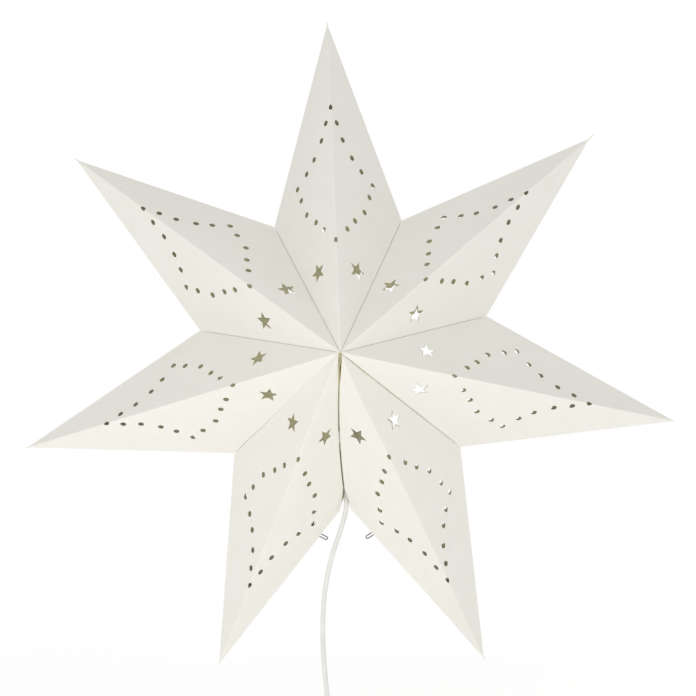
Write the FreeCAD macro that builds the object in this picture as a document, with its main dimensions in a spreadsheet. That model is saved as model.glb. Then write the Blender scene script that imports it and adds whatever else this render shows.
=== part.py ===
"""Seven-point folded paper star pendant with its lamp set and cord.

Millimetres. X to the right, Y to the back, Z up; the origin is the tip of the top point, where the
star hangs. The star lies in the XZ plane with its front cone towards -Y.
"""
import FreeCAD, Part
import math
import os
from FreeCAD import Matrix, Placement, Rotation, Vector
from Sketcher import Constraint

doc = FreeCAD.newDocument("paper_star_pendant")
sheet = doc.addObject("Spreadsheet::Sheet", "Sizes")

# alias, value in mm or degrees, meaning
SIZES = (
    ("tip_radius", 350.0, "star centre to the tip of a point"),
    ("notch_radius", 155.0, "star centre to a notch between two points"),
    ("half_depth", 137.0, "star plane to the front or back centre"),
    ("paper", 0.4, "thickness of the card"),
    ("uneven_turn", 2.4, "extra spread of the right point, taken from the lower left one, degrees"),
    ("lean_right", 1.1, "lower right ridge leans to the seam, degrees"),
    ("lean_left", 1.8, "lower left ridge leans to the seam, degrees"),
    ("apex_relief", 0.8, "radius trimmed off where the sheets meet in the middle"),
    ("flap_width", 10.0, "glue flap along a valley"),
    ("flap_chamfer", 12.0, "slanted end of a glue flap"),
    ("flap_inset", 6.0, "glue flap's end to the end of its valley"),
    ("seam_flap_top", 45.0, "seam flap's upper end to the centre, along the valley"),
    ("seam_flap_end", 22.0, "seam flap's lower end to the notch, along the valley"),
    ("seam_gap", 1.6, "open seam between the two lower points"),
    ("seam_flare", 4.5, "width of the seam at the centre"),
    ("seam_flare_length", 32.0, "length over which the seam widens"),
    ("cord_notch_width", 10.6, "width of the cord opening at the notch"),
    ("cord_notch_top", 16.0, "top of the cord opening above the notch"),
    ("hole_diameter", 6.3, "punched round hole"),
    ("star_hole_radius", 11.0, "centre to tip of a punched five-pointed star"),
    ("star_hole_waist", 4.8, "centre to inner corner of a punched star"),
    ("star_hole_along", 98.6, "punched star's centre from the panel's centre end, along the ridge"),
    ("star_hole_off", 29.8, "punched star's centre off the ridge"),
    ("pad_length", 16.0, "hook or loop pad in the seam, length"),
    ("pad_width", 8.0, "hook or loop pad in the seam, width"),
    ("pad_gap", 0.1, "between a hook pad and its loop pad"),
    ("pad_place", 105.0, "pad's upper end from the centre, along the valley"),
    ("grip_mouth", 130.0, "star centre to the cord grip's mouth"),
    ("grip_radius", 6.0, "cord grip, outer"),
    ("grip_length", 12.0, "cord grip outside the holder cap"),
    ("grip_spigot_radius", 4.9, "cord grip's spigot in the cap"),
    ("grip_spigot_length", 6.0, "cord grip's spigot in the cap"),
    ("holder_clearance", 0.1, "between two holder parts that slide together"),
    ("cap_cone_height", 8.0, "holder cap's taper"),
    ("cap_height", 23.0, "holder cap, overall"),
    ("cap_wall", 0.8, "holder cap's skirt outside the shell"),
    ("shell_radius", 14.0, "holder shell, outer"),
    ("shell_wall", 1.4, "holder shell's wall"),
    ("shell_length", 46.0, "holder shell"),
    ("shell_overlap", 3.0, "holder shell's end inside the cap's skirt"),
    ("core_height", 17.0, "contact block"),
    ("core_bore", 5.0, "wire room in the contact block, radius"),
    ("core_roof", 6.0, "solid top of the contact block"),
    ("sleeve_bore", 7.15, "screw sleeve, inner radius"),
    ("sleeve_wall", 1.0, "screw sleeve's wall"),
    ("sleeve_length", 22.0, "screw sleeve"),
    ("contact_strip", 0.6, "thickness of the brass contacts"),
    ("contact_width", 4.0, "width of the brass contacts"),
    ("screw_radius", 1.5, "terminal screw"),
    ("screw_head_radius", 2.6, "terminal screw's head"),
    ("screw_head_height", 1.6, "terminal screw's head"),
    ("screw_length", 7.0, "terminal screw's shank"),
    ("screw_spread", 8.2, "terminal screw off the lamp's axis"),
    ("conductor_radius", 0.9, "one insulated conductor"),
    ("bulb_radius", 22.5, "glass globe"),
    ("bulb_length", 78.0, "bulb, overall"),
    ("bulb_glass_wall", 0.8, "glass wall"),
    ("bulb_neck_radius", 9.5, "glass neck where it enters the cap"),
    ("bulb_neck_drop", 17.2, "globe centre to the top of the neck"),
    ("bulb_neck_top_radius", 14.4, "radius at the top of the neck"),
    ("bulb_cap_radius", 6.95, "screw cap of the bulb, outer"),
    ("bulb_cap_length", 21.5, "screw cap of the bulb"),
    ("bulb_cap_wall", 0.5, "screw cap's wall"),
    ("bulb_insulator_height", 2.5, "glass insulator under the cap"),
    ("bulb_contact_height", 2.1, "solder contact under the insulator"),
    ("bulb_contact_radius", 2.6, "solder contact"),
    ("bulb_contact_gap", 0.3, "solder contact to the centre contact"),
    ("stem_radius", 3.0, "glass stem in the bulb"),
    ("filament_radius", 0.8, "one light filament"),
    ("filament_length", 26.0, "one light filament"),
    ("filament_ring", 6.0, "filaments off the bulb's axis"),
    ("collar_clearance", 0.1, "clip collar round the holder cap"),
    ("collar_wall", 1.1, "clip collar's wall"),
    ("collar_height", 7.0, "clip collar"),
    ("collar_drop", 4.0, "cap's upper rim to the clip collar"),
    ("pin_radius", 1.2, "clip collar's pivot pin"),
    ("pin_length", 4.0, "clip collar's pivot pin between collar and head"),
    ("pin_head_radius", 2.2, "pivot pin's head"),
    ("pin_head_height", 1.0, "pivot pin's head"),
    ("wire_radius", 0.6, "spring wire of the clip"),
    ("eye_radius", 2.0, "wire eye round the pivot pin, to the wire's middle"),
    ("hairpin_place", 43.0, "notch to the hairpin, along the point's edge"),
    ("hairpin_reach", 9.0, "hairpin outside the paper"),
    ("hairpin_root", 12.0, "hairpin inside the paper"),
    ("hairpin_bend", 1.5, "half the space between the hairpin's two wires"),
    ("hairpin_slope", 30.0, "hairpin below the level, degrees"),
    ("slit_length", 10.0, "slit for the hairpin along the edge"),
    ("slit_height", 3.0, "slit for the hairpin, front to back"),
    ("cord_diameter", 5.2, "round cord"),
    ("cord_clearance", 0.15, "cord in the grip's bore"),
    ("ground_drop", 395.0, "star centre down to the surface that the slack cord lies on"),
    ("coil_outer", 35.6, "outer turn of the put-away coil, to the cord's middle"),
    ("coil_pitch", 5.7, "from turn to turn and from layer to layer"),
    ("coil_layer_turns", 2.5, "turns in one layer"),
    ("coil_x", 150.0, "coil's axis to the right"),
    ("coil_y", -95.0, "coil's axis to the front"),
    ("tail_straight", 8.0, "straight cord at each end of the bend to the plug"),
    ("tie_width", 6.0, "band round the coil"),
    ("tie_thickness", 0.8, "band round the coil"),
    ("tie_clearance", 0.5, "between the band and the cord"),
    ("switch_length", 62.0, "inline switch"),
    ("switch_width", 26.0, "inline switch"),
    ("switch_base_height", 9.0, "inline switch, lower half"),
    ("switch_cover_height", 9.0, "inline switch, upper half"),
    ("switch_wall", 1.8, "inline switch's wall"),
    ("switch_round", 4.0, "rounding of the switch's upright edges"),
    ("switch_x", 22.0, "switch's left end"),
    ("switch_y", -142.0, "switch's middle"),
    ("rocker_length", 20.0, "switch rocker"),
    ("rocker_width", 9.0, "switch rocker"),
    ("rocker_height", 6.0, "switch rocker, over its middle"),
    ("rocker_crown", 1.2, "rocker's ends above its middle"),
    ("rocker_gap", 0.5, "round the rocker in its window"),
    ("rocker_tilt", 8.0, "rocker's tilt each way, degrees"),
    ("trunnion_radius", 1.5, "rocker's pivot"),
    ("trunnion_length", 1.2, "rocker's pivot, each side"),
    ("trunnion_clearance", 0.08, "rocker's pivot in the cover"),
    ("plug_length", 34.0, "plug's body"),
    ("plug_width", 35.0, "plug's body at the pins"),
    ("plug_tail_width", 17.0, "plug's body at the cord"),
    ("plug_height", 14.0, "plug's body"),
    ("plug_round", 3.0, "rounding of the plug's edges"),
    ("plug_x", 0.0, "plug's pin face"),
    ("plug_y", 12.0, "plug's middle"),
    ("relief_length", 14.0, "plug's strain relief"),
    ("relief_radius", 4.6, "plug's strain relief at the body"),
    ("prong_radius", 2.0, "plug pin's bare end"),
    ("prong_core_radius", 1.1, "plug pin inside its sleeve and the body"),
    ("prong_length", 19.0, "plug pin outside the body"),
    ("prong_root", 8.0, "plug pin inside the body"),
    ("prong_sleeve_radius", 1.5, "insulating sleeve round a plug pin"),
    ("prong_sleeve_length", 10.0, "insulating sleeve round a plug pin"),
    ("prong_spread", 18.6, "between the two plug pins"),
)

# Punched round holes of one panel: distance from the centre end along the ridge, and off the ridge.
PUNCHES = (
    (277.0, 0.0), (261.0, 8.6), (244.0, 16.5), (227.5, 29.5), (216.5, 43.0), (205.8, 59.5),
    (190.3, 53.5), (170.0, 45.0), (155.2, 30.0), (142.0, 18.0), (124.5, 0.0),
)

# node name, share of uneven_turn in its opening, size by which its ridge leans, direction of the lean
POINTS = (
    ("point_top", 0, None, 0),
    ("point_upper_right", 0, None, 0),
    ("point_right", 1, None, 0),
    ("point_lower_right", 0, "lean_right", 1),
    ("point_lower_left", -1, "lean_left", -1),
    ("point_left", 0, None, 0),
    ("point_upper_left", 0, None, 0),
)
STEP = 360.0 / len(POINTS)
SEAM = 3          # the valley after this point is the open seam
FRONT, BACK = -1, 1
CLOCKWISE, ANTICLOCKWISE = 1, -1


def fill_sheet():
    """Write every driving size into the spreadsheet, with its alias and its meaning."""
    rows = list(SIZES)
    for number, (along, off) in enumerate(PUNCHES, 1):
        rows.append((f"punch{number}_along", along, "round hole, along the ridge"))
        rows.append((f"punch{number}_off", off, "round hole, off the ridge"))
    for row, (alias, value, meaning) in enumerate(rows, 1):
        sheet.set(f"A{row}", alias)
        sheet.set(f"B{row}", str(value))
        sheet.setAlias(f"B{row}", alias)
        sheet.set(f"C{row}", meaning)
    doc.recompute()


def size(alias):
    """One driving size as a number."""
    return float(sheet.get(alias))


def bound(text):
    """An expression with every bare alias read from the sheet: 'a + b' becomes 'Sizes.a + Sizes.b'."""
    words = []
    word = ""
    for letter in str(text) + " ":
        if letter.isalnum() or letter in "_.":
            word += letter
            continue
        if word and word[0].isalpha() and word not in ("cos", "sin", "sqrt", "atan", "deg"):
            word = "Sizes." + word
        words.append(word + letter)
        word = ""
    return "".join(words).strip()


def number(text):
    """The present value of an expression in sizes."""
    result = sheet.evalExpression(bound(text))
    return float(getattr(result, "Value", result))


# ---------------------------------------------------------------- document helpers

def plane_of(body, role):
    """One of the body's own origin planes or axes, by its role."""
    return next(item for item in body.Origin.OriginFeatures if item.Role == role)


def new_body(label):
    body = doc.addObject("PartDesign::Body", label)
    body.Label = label
    return body


def outline_sketch(body, role, corners):
    """A closed outline on an origin plane; each corner's two coordinates are expressions in sizes."""
    sketch = body.newObject("Sketcher::SketchObject", body.Name + "_outline")
    sketch.AttachmentSupport = [(plane_of(body, role), "")]
    sketch.MapMode = "FlatFace"
    draw_outline(sketch, corners)
    return sketch


def draw_outline(sketch, corners):
    """Add the closed outline's lines to a sketch and bind every corner to the sheet."""
    places = [Vector(number(x), number(y), 0) for x, y in corners]
    first = sketch.GeometryCount
    count = len(places)
    for i in range(count):
        sketch.addGeometry(Part.LineSegment(places[i], places[(i + 1) % count]), False)
    for i in range(count):
        sketch.addConstraint(Constraint("Coincident", first + i, 2, first + (i + 1) % count, 1))
        for kind, text, value in (("DistanceX", corners[i][0], places[i].x),
                                  ("DistanceY", corners[i][1], places[i].y)):
            index = sketch.addConstraint(Constraint(kind, -1, 1, first + i, 1, value))
            sketch.setExpression(f"Constraints[{index}]", bound(text))


def pad(body, sketch, thickness, reverse=False, both_ways=False):
    feature = body.newObject("PartDesign::Pad", body.Name + "_pad")
    feature.Profile = sketch
    feature.Reversed = reverse
    feature.Midplane = both_ways
    feature.setExpression("Length", bound(thickness))
    sketch.Visibility = False
    return feature


def turned(label, corners, placement=None):
    """A body turned about its own Z axis; corners are radius and height expressions."""
    body = new_body(label)
    sketch = outline_sketch(body, "XZ_Plane", corners)
    feature = body.newObject("PartDesign::Revolution", label + "_turn")
    feature.Profile = sketch
    feature.ReferenceAxis = (plane_of(body, "Z_Axis"), [""])
    feature.Angle = 360.0
    if placement:
        body.Placement = placement
    return body


def primitive(kind, name, sizes, placement=None):
    """A Part primitive whose properties are bound to the sheet."""
    item = doc.addObject("Part::" + kind, name)
    for prop, text in sizes.items():
        item.setExpression(prop, bound(text))
    if placement:
        item.Placement = placement
    return item


def cylinder(name, radius, height, placement=None):
    return primitive("Cylinder", name, {"Radius": radius, "Height": height}, placement)


def block(name, length, width, height, placement=None):
    return primitive("Box", name, {"Length": length, "Width": width, "Height": height}, placement)


def fused(label, items):
    result = doc.addObject("Part::MultiFuse", label)
    result.Shapes = items
    result.Refine = True
    result.Label = label
    return result


def grouped(label, items):
    """Separate solids kept in one node."""
    result = doc.addObject("Part::Compound", label)
    result.Links = items
    result.Label = label
    return result


def cut(label, base, tool):
    result = doc.addObject("Part::Cut", label)
    result.Base = base
    result.Tool = tool
    result.Label = label
    return result


def shaped(label, shape):
    feature = doc.addObject("Part::Feature", label)
    feature.Shape = shape
    feature.Placement = Placement()
    feature.Label = label
    return feature


def at(x, y, z, rotation=None):
    return Placement(Vector(x, y, z), rotation or Rotation())


def frame_at(origin, x_axis, y_axis):
    """Placement with its X and Y axes along two given square directions."""
    z_axis = x_axis.cross(y_axis)
    matrix = Matrix(x_axis.x, y_axis.x, z_axis.x, origin.x,
                    x_axis.y, y_axis.y, z_axis.y, origin.y,
                    x_axis.z, y_axis.z, z_axis.z, origin.z,
                    0, 0, 0, 1)
    return Placement(matrix)


# ---------------------------------------------------------------- the star's lines

def opening(index):
    """Angle between the two valleys of a point, in degrees."""
    return STEP + POINTS[index][1] * size("uneven_turn")


def valley_turn(index):
    """Clockwise angle from straight up to the valley after a point."""
    return -STEP / 2 + sum(opening(i) for i in range(index + 1))


def half_text(index, side):
    """Expression for the angle between a point's ridge and its valley on one side."""
    lean_size, lean_way = POINTS[index][2:]
    text = f"({STEP} + {POINTS[index][1]} * uneven_turn) / 2"
    if lean_size:
        text += f" - {side * lean_way} * {lean_size}"
    return text


def ridge_turn(index):
    return valley_turn(index) - number(half_text(index, CLOCKWISE))


def rim(turn, radius):
    """A point of the star's middle plane, at a clockwise angle from straight up."""
    angle = math.radians(turn)
    return Vector(radius * math.sin(angle), 0, radius * math.cos(angle)) + centre()


def centre():
    return Vector(0, 0, -size("tip_radius"))


def apex(face):
    return centre() + Vector(0, face * size("half_depth"), 0)


def tip(index):
    return rim(ridge_turn(index), size("tip_radius"))


def notch(index, side):
    """The notch on one side of a point."""
    valley = index if side == CLOCKWISE else (index - 1) % len(POINTS)
    turn = valley_turn(valley) if side == CLOCKWISE else valley_turn(index) - opening(index)
    return rim(turn, size("notch_radius"))


def square_to(vector, along):
    """The part of a vector that is square to a unit direction, made unit length."""
    rest = vector - along * vector.dot(along)
    return rest.normalize()


RIDGE = "sqrt(tip_radius^2 + half_depth^2)"
VALLEY = "sqrt(notch_radius^2 + half_depth^2)"


# ---------------------------------------------------------------- paper sheets

def make_punch():
    """All the punches of one panel, as solids standing through the panel's plane."""
    tools = []
    reach = size("paper") * 4
    for count in range(1, len(PUNCHES) + 1):
        hole = cylinder(f"punch{count}", "hole_diameter / 2", "paper * 8")
        hole.setExpression("Placement.Base.x", bound(f"punch{count}_along"))
        hole.setExpression("Placement.Base.y", bound(f"punch{count}_off"))
        hole.setExpression("Placement.Base.z", bound("-4 * paper"))
        tools.append(hole)
    tools.append(make_star_punch(-reach))
    return grouped("punches", tools)


def make_star_punch(height):
    """Five-pointed star, one of its points aimed away from the panel's centre end."""
    body = new_body("star_punch")
    corners = []
    for corner in range(10):
        radius = "star_hole_radius" if corner % 2 == 0 else "star_hole_waist"
        turn = f"(atan(star_hole_off / star_hole_along) + {36 * corner} deg)"
        corners.append((f"star_hole_along + {radius} * cos({turn})",
                        f"star_hole_off + {radius} * sin({turn})"))
    sketch = outline_sketch(body, "XY_Plane", corners)
    pad(body, sketch, "paper * 8")
    body.Placement = at(0, 0, height)
    return body


def make_panel(index, side, face, punch):
    """One flat triangle between ridge, rim and valley, with its holes punched."""
    name = f"panel_{index}_{side % 3}_{face % 3}"
    half = half_text(index, side)
    notch_along = f"((tip_radius * notch_radius * cos({half}) + half_depth^2) / {RIDGE})"
    notch_off = f"sqrt({VALLEY}^2 - {notch_along}^2)"
    start = apex(face)
    along = (tip(index) - start).normalize()
    across = square_to(notch(index, side) - start, along)
    outward_is_up = along.cross(across).dot(centre() - start) < 0
    body = new_body(name)
    sketch = outline_sketch(body, "XY_Plane", [("0", "0"), (RIDGE, "0"), (notch_along, notch_off)])
    pad(body, sketch, "paper", reverse=outward_is_up)
    panel = cut(name + "_punched", body, punch)
    panel.Placement = frame_at(start, along, across)
    return panel


def make_flap(index, side, face):
    """Glue flap along a valley, in the radial plane, on its own point's side."""
    name = f"flap_{index}_{side % 3}_{face % 3}"
    start, end = apex(face), notch(index, side)
    along = (end - start).normalize()
    inward = square_to(centre() - start, along)
    normal = along.cross(inward)
    own_side = 1 if normal.dot(tip(index) - start) > 0 else -1
    valley = index if side == CLOCKWISE else (index - 1) % len(POINTS)
    top, bottom, outer = "flap_inset", "flap_inset", "0"
    offset = 0.0
    if valley == SEAM:
        top, bottom = "seam_flap_top", "seam_flap_end"
        offset = own_side * size("seam_gap") / 2
        outer = str(seam_edge(index, along, inward, normal * own_side))
    corners = [(top, outer), (f"{top} + flap_chamfer", "flap_width"),
               (f"{VALLEY} - {bottom} - flap_chamfer", "flap_width"), (f"{VALLEY} - {bottom}", outer)]
    body = new_body(name)
    sketch = outline_sketch(body, "XY_Plane", corners)
    pad(body, sketch, "paper", reverse=own_side < 0)
    body.Placement = frame_at(start + normal * offset, along, inward)
    return body


def seam_edge(index, along, inward, to_point):
    """Height at which the offset seam flap meets the middle of its panel's card."""
    start = apex(FRONT) if inward.y > 0 else apex(BACK)
    away = square_to(tip(index) - start, along)
    rise = -away.dot(inward) / away.dot(to_point)
    return -rise * size("seam_gap") / 2 + size("paper") / 2


def seam_placement():
    """The lamp's own frame: origin in the star's centre, -Z down the seam."""
    return Placement(centre(), Rotation(Vector(0, 1, 0), valley_turn(SEAM) - 180))


def make_seam_slot():
    """The open seam with its flare at the centre and the cord opening at the notch."""
    body = new_body("seam_slot")
    right = [("seam_flare / 2", "0"), ("seam_gap / 2", "-seam_flare_length"),
             ("seam_gap / 2", "cord_notch_top - notch_radius"),
             ("cord_notch_width / 2", "-notch_radius - cord_notch_width / 2"),
             ("cord_notch_width / 2", "-notch_radius - cord_notch_width * 2")]
    left = [(f"-{x}", y) for x, y in reversed(right)]
    sketch = outline_sketch(body, "XZ_Plane", right + left)
    pad(body, sketch, "half_depth * 3", both_ways=True)
    body.Placement = seam_placement()
    return body


def make_apex_trim():
    hole = cylinder("apex_trim", "apex_relief", "half_depth * 3")
    hole.Placement = Placement(centre() + Vector(0, 1.5 * size("half_depth"), 0),
                               Rotation(Vector(1, 0, 0), 90))
    return hole


def hairpin_exit(side):
    """Where a hairpin leaves the edge of the lower point on one side, and the edge's direction."""
    index = SEAM if side == 1 else SEAM + 1
    start = rim(valley_turn(SEAM), size("notch_radius"))
    edge = (tip(index) - start).normalize()
    return start + edge * size("hairpin_place"), edge


def make_slit(side):
    place, edge = hairpin_exit(side)
    slit = block(f"slit_{side % 3}", "slit_length", "slit_height", "slit_height * 2")
    corner = Vector(-size("slit_length") / 2, -size("slit_height") / 2, -size("slit_height"))
    frame = frame_at(place, edge, Vector(0, 1, 0))
    slit.Placement = frame.multiply(Placement(corner, Rotation()))
    return slit


def make_sheets():
    """The seven folded and punched sheets, one for each point."""
    punch = make_punch()
    trim = make_apex_trim()
    slot = make_seam_slot()
    trims = {SEAM: fused("seam_trim_right", [trim, slot, make_slit(1)]),
             SEAM + 1: fused("seam_trim_left", [trim, slot, make_slit(-1)])}
    sheets = []
    for index, point in enumerate(POINTS):
        pieces = []
        for side in (CLOCKWISE, ANTICLOCKWISE):
            for face in (FRONT, BACK):
                pieces.append(make_panel(index, side, face, punch))
                pieces.append(make_flap(index, side, face))
        folded = fused(point[0] + "_folded", pieces)
        sheets.append(cut(point[0], folded, trims.get(index, trim)))
    return sheets


def make_pads():
    """Hook and loop pads that hold the seam shut, front and back."""
    nodes = []
    for label, own_side in (("seam_hook_pads", 1), ("seam_loop_pads", -1)):
        pads = []
        for face in (FRONT, BACK):
            start, end = apex(face), rim(valley_turn(SEAM), size("notch_radius"))
            along = (end - start).normalize()
            inward = square_to(centre() - start, along)
            normal = along.cross(inward)
            way = own_side if normal.x > 0 else -own_side
            patch = block(f"{label}_{face % 3}", "pad_length", "pad_width",
                          "(seam_gap - pad_gap) / 2")
            depth = size("pad_gap") / 2 if way > 0 else -size("seam_gap") / 2
            shift = Vector(size("pad_place"), (size("flap_width") - size("pad_width")) / 2, depth)
            patch.Placement = frame_at(start, along, inward).multiply(Placement(shift, Rotation()))
            pads.append(patch)
        nodes.append(grouped(label, pads))
    return nodes


# ---------------------------------------------------------------- lampholder
# Heights here are expressions along the lamp's axis, from the star's centre.

GRIP_TOP = "(grip_length - grip_mouth)"
CAP_RIM = f"({GRIP_TOP} + cap_height)"
SHELL_FOOT = f"({CAP_RIM} - shell_overlap)"
SHELL_TOP = f"({SHELL_FOOT} + shell_length)"
CORE_FOOT = f"({SHELL_FOOT} + 1)"
CORE_TOP = f"({CORE_FOOT} + core_height)"
CONTACT_TOP = f"({CORE_TOP} + contact_strip)"
COLLAR_TOP = f"({CAP_RIM} - collar_drop)"
PIVOT = f"({COLLAR_TOP} - collar_height / 2)"
COLLAR_OUTER = "(shell_radius + holder_clearance + cap_wall + collar_clearance + collar_wall)"


def lamp_at(z_text, x=0.0, y=0.0, rotation=None):
    """Placement in the lamp's own frame."""
    return seam_placement().multiply(at(x, y, number(z_text), rotation))


def make_grip():
    bore = "cord_diameter / 2 + cord_clearance"
    return turned("cord_grip", [(bore, "-grip_mouth"), ("grip_radius", "-grip_mouth"),
                                ("grip_radius", GRIP_TOP), ("grip_spigot_radius", GRIP_TOP),
                                ("grip_spigot_radius", f"{GRIP_TOP} + grip_spigot_length"),
                                (bore, f"{GRIP_TOP} + grip_spigot_length")], seam_placement())


def make_cap():
    """Tapered cap that screws on the holder's shell."""
    outer = "shell_radius + holder_clearance + cap_wall"
    hole = "grip_spigot_radius + holder_clearance"
    inner = "shell_radius - shell_wall"
    return turned("holder_cap", [
        (hole, GRIP_TOP), ("grip_radius + 2", GRIP_TOP), (outer, f"{GRIP_TOP} + cap_cone_height"),
        (outer, CAP_RIM), ("shell_radius + holder_clearance", CAP_RIM),
        ("shell_radius + holder_clearance", SHELL_FOOT), (inner, SHELL_FOOT),
        (inner, f"{GRIP_TOP} + cap_cone_height + 1"), ("grip_radius + 1", f"{GRIP_TOP} + shell_wall"),
        (hole, f"{GRIP_TOP} + shell_wall")], seam_placement())


def make_shell():
    """Outer tube of the holder with a lip round the bulb's neck."""
    lip = "bulb_neck_radius + 2"
    inner = "shell_radius - shell_wall"
    return turned("holder_shell", [("shell_radius", SHELL_FOOT), ("shell_radius", SHELL_TOP),
                                   (lip, SHELL_TOP), (lip, f"{SHELL_TOP} - shell_wall"),
                                   (inner, f"{SHELL_TOP} - shell_wall"), (inner, SHELL_FOOT)],
                  seam_placement())


def make_core():
    """Contact block with room for the wires below and holes for the terminal screws."""
    outer = "shell_radius - shell_wall - holder_clearance"
    block_body = turned("core_block", [
        ("core_bore", CORE_FOOT), (outer, CORE_FOOT), (outer, CORE_TOP), ("0", CORE_TOP),
        ("0", f"{CORE_TOP} - core_roof"), ("core_bore", f"{CORE_TOP} - core_roof")], seam_placement())
    holes = [cylinder(f"core_hole_{side % 3}", "screw_radius + holder_clearance", "screw_length",
                      lamp_at(CORE_FOOT, side * size("screw_spread"))) for side in (1, -1)]
    return cut("contact_block", block_body, fused("core_holes", holes))


def make_screws():
    screws = []
    for side in (1, -1):
        x = side * size("screw_spread")
        shank = cylinder(f"screw_shank_{side % 3}", "screw_radius", "screw_length", lamp_at(CORE_FOOT, x))
        head = cylinder(f"screw_head_{side % 3}", "screw_head_radius", "screw_head_height",
                        lamp_at(f"{CORE_FOOT} - screw_head_height", x))
        screws.append(fused(f"screw_{side % 3}", [shank, head]))
    return grouped("terminal_screws", screws)


def make_sleeve():
    outer = "sleeve_bore + sleeve_wall"
    return turned("screw_sleeve", [("sleeve_bore", CORE_TOP), (outer, CORE_TOP),
                                   (outer, f"{CORE_TOP} + sleeve_length"),
                                   ("sleeve_bore", f"{CORE_TOP} + sleeve_length")], seam_placement())


def make_contacts():
    """Centre tongue under the bulb and the side strip outside the sleeve."""
    width = size("contact_width")
    tongue = block("centre_contact", "2 * sleeve_bore - 2", "contact_width", "contact_strip",
                   lamp_at(CORE_TOP, 1 - size("sleeve_bore"), -width / 2))
    tongue.Label = "centre_contact"
    strip = block("side_contact", "contact_strip", "contact_width", "sleeve_length * 0.8",
                  lamp_at(CORE_TOP, number("sleeve_bore + sleeve_wall"), -width / 2))
    strip.Label = "side_contact"
    return [tongue, strip]


def make_conductors():
    """The cord's two conductors, fanned out from the grip into the contact block."""
    frame = seam_placement()
    close, wide = number("conductor_radius + 0.1"), number("core_bore - conductor_radius - 0.4")
    heights = (number("-grip_mouth + 2"), number(f"{GRIP_TOP} + grip_spigot_length"),
               number(SHELL_FOOT), number(f"{CORE_TOP} - core_roof - 1"))
    wires = []
    for side in (1, -1):
        places = [Vector(side * x, 0, z) for x, z in zip((close, close, wide, wide), heights)]
        places = [frame.multVec(place) for place in places]
        wires.append(round_tube(places, size("conductor_radius"), [4.0, 4.0])[0])
    return shaped("conductors", Part.makeCompound(wires))


# ---------------------------------------------------------------- bulb

CAP_FOOT = f"({CONTACT_TOP} + bulb_contact_gap + bulb_contact_height + bulb_insulator_height)"
NECK_FOOT = f"({CAP_FOOT} + bulb_cap_length)"
GLOBE = f"({CONTACT_TOP} + bulb_contact_gap + bulb_length - bulb_radius)"


def globe_solid(name, less):
    """The glass's outer or inner form: a ball with a tapered neck."""
    foot = number(NECK_FOOT)
    ball = primitive("Sphere", name + "_ball", {"Radius": f"bulb_radius - {less}"}, lamp_at(GLOBE))
    neck = primitive("Cone", name + "_neck",
                     {"Radius1": f"bulb_neck_radius - {less}",
                      "Radius2": f"bulb_neck_top_radius - {less}",
                      "Height": f"{GLOBE} - bulb_neck_drop - {NECK_FOOT}"},
                     lamp_at(str(foot)))
    return fused(name, [ball, neck])


def make_bulb():
    outer = globe_solid("glass_outside", "0")
    inner = globe_solid("glass_inside", "bulb_glass_wall")
    glass = cut("bulb_glass", outer, inner)
    rim_radius, wall = "bulb_cap_radius", "bulb_cap_wall"
    cap = turned("bulb_cap", [
        ("bulb_contact_radius + 1", CAP_FOOT), (rim_radius, f"{CAP_FOOT} + 2"),
        (rim_radius, f"{NECK_FOOT} - 3"), ("bulb_neck_radius", f"{NECK_FOOT} - 0.2"),
        (f"bulb_neck_radius - {wall}", f"{NECK_FOOT} - 0.2"),
        (f"{rim_radius} - {wall}", f"{NECK_FOOT} - 3 - {wall}"),
        (f"{rim_radius} - {wall}", f"{CAP_FOOT} + 2"), ("bulb_contact_radius + 1", f"{CAP_FOOT} + {wall}")],
        seam_placement())
    insulator = primitive("Cone", "bulb_insulator",
                          {"Radius1": "bulb_contact_radius", "Radius2": "bulb_contact_radius + 1",
                           "Height": "bulb_insulator_height"},
                          lamp_at(f"{CAP_FOOT} - bulb_insulator_height"))
    insulator.Label = "bulb_insulator"
    contact = cylinder("bulb_contact", "bulb_contact_radius", "bulb_contact_height",
                       lamp_at(f"{CONTACT_TOP} + bulb_contact_gap"))
    contact.Label = "bulb_contact"
    stem_foot = f"{CAP_FOOT} + bulb_cap_wall"
    stem = cylinder("bulb_stem", "stem_radius", f"{GLOBE} - filament_length / 2 - ({stem_foot})",
                    lamp_at(stem_foot))
    stem.Label = "bulb_stem"
    return [glass, cap, insulator, contact, stem, make_filaments()]


def make_filaments():
    """Four light filaments between two wire crosses on the stem."""
    foot = f"{GLOBE} - filament_length / 2"
    solids = []
    for quarter in range(4):
        angle = math.radians(90 * quarter + 45)
        x, y = (size("filament_ring") * math.cos(angle), size("filament_ring") * math.sin(angle))
        solids.append(cylinder(f"filament_{quarter}", "filament_radius", "filament_length",
                               lamp_at(foot, x, y)))
    for level, height in enumerate((foot, f"{GLOBE} + filament_length / 2 - 2 * filament_radius")):
        solids.append(cylinder(f"filament_disc_{level}", "filament_ring + 2 * filament_radius",
                               "filament_radius", lamp_at(height)))
    return fused("bulb_filaments", solids)


# ---------------------------------------------------------------- wire clip

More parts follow.
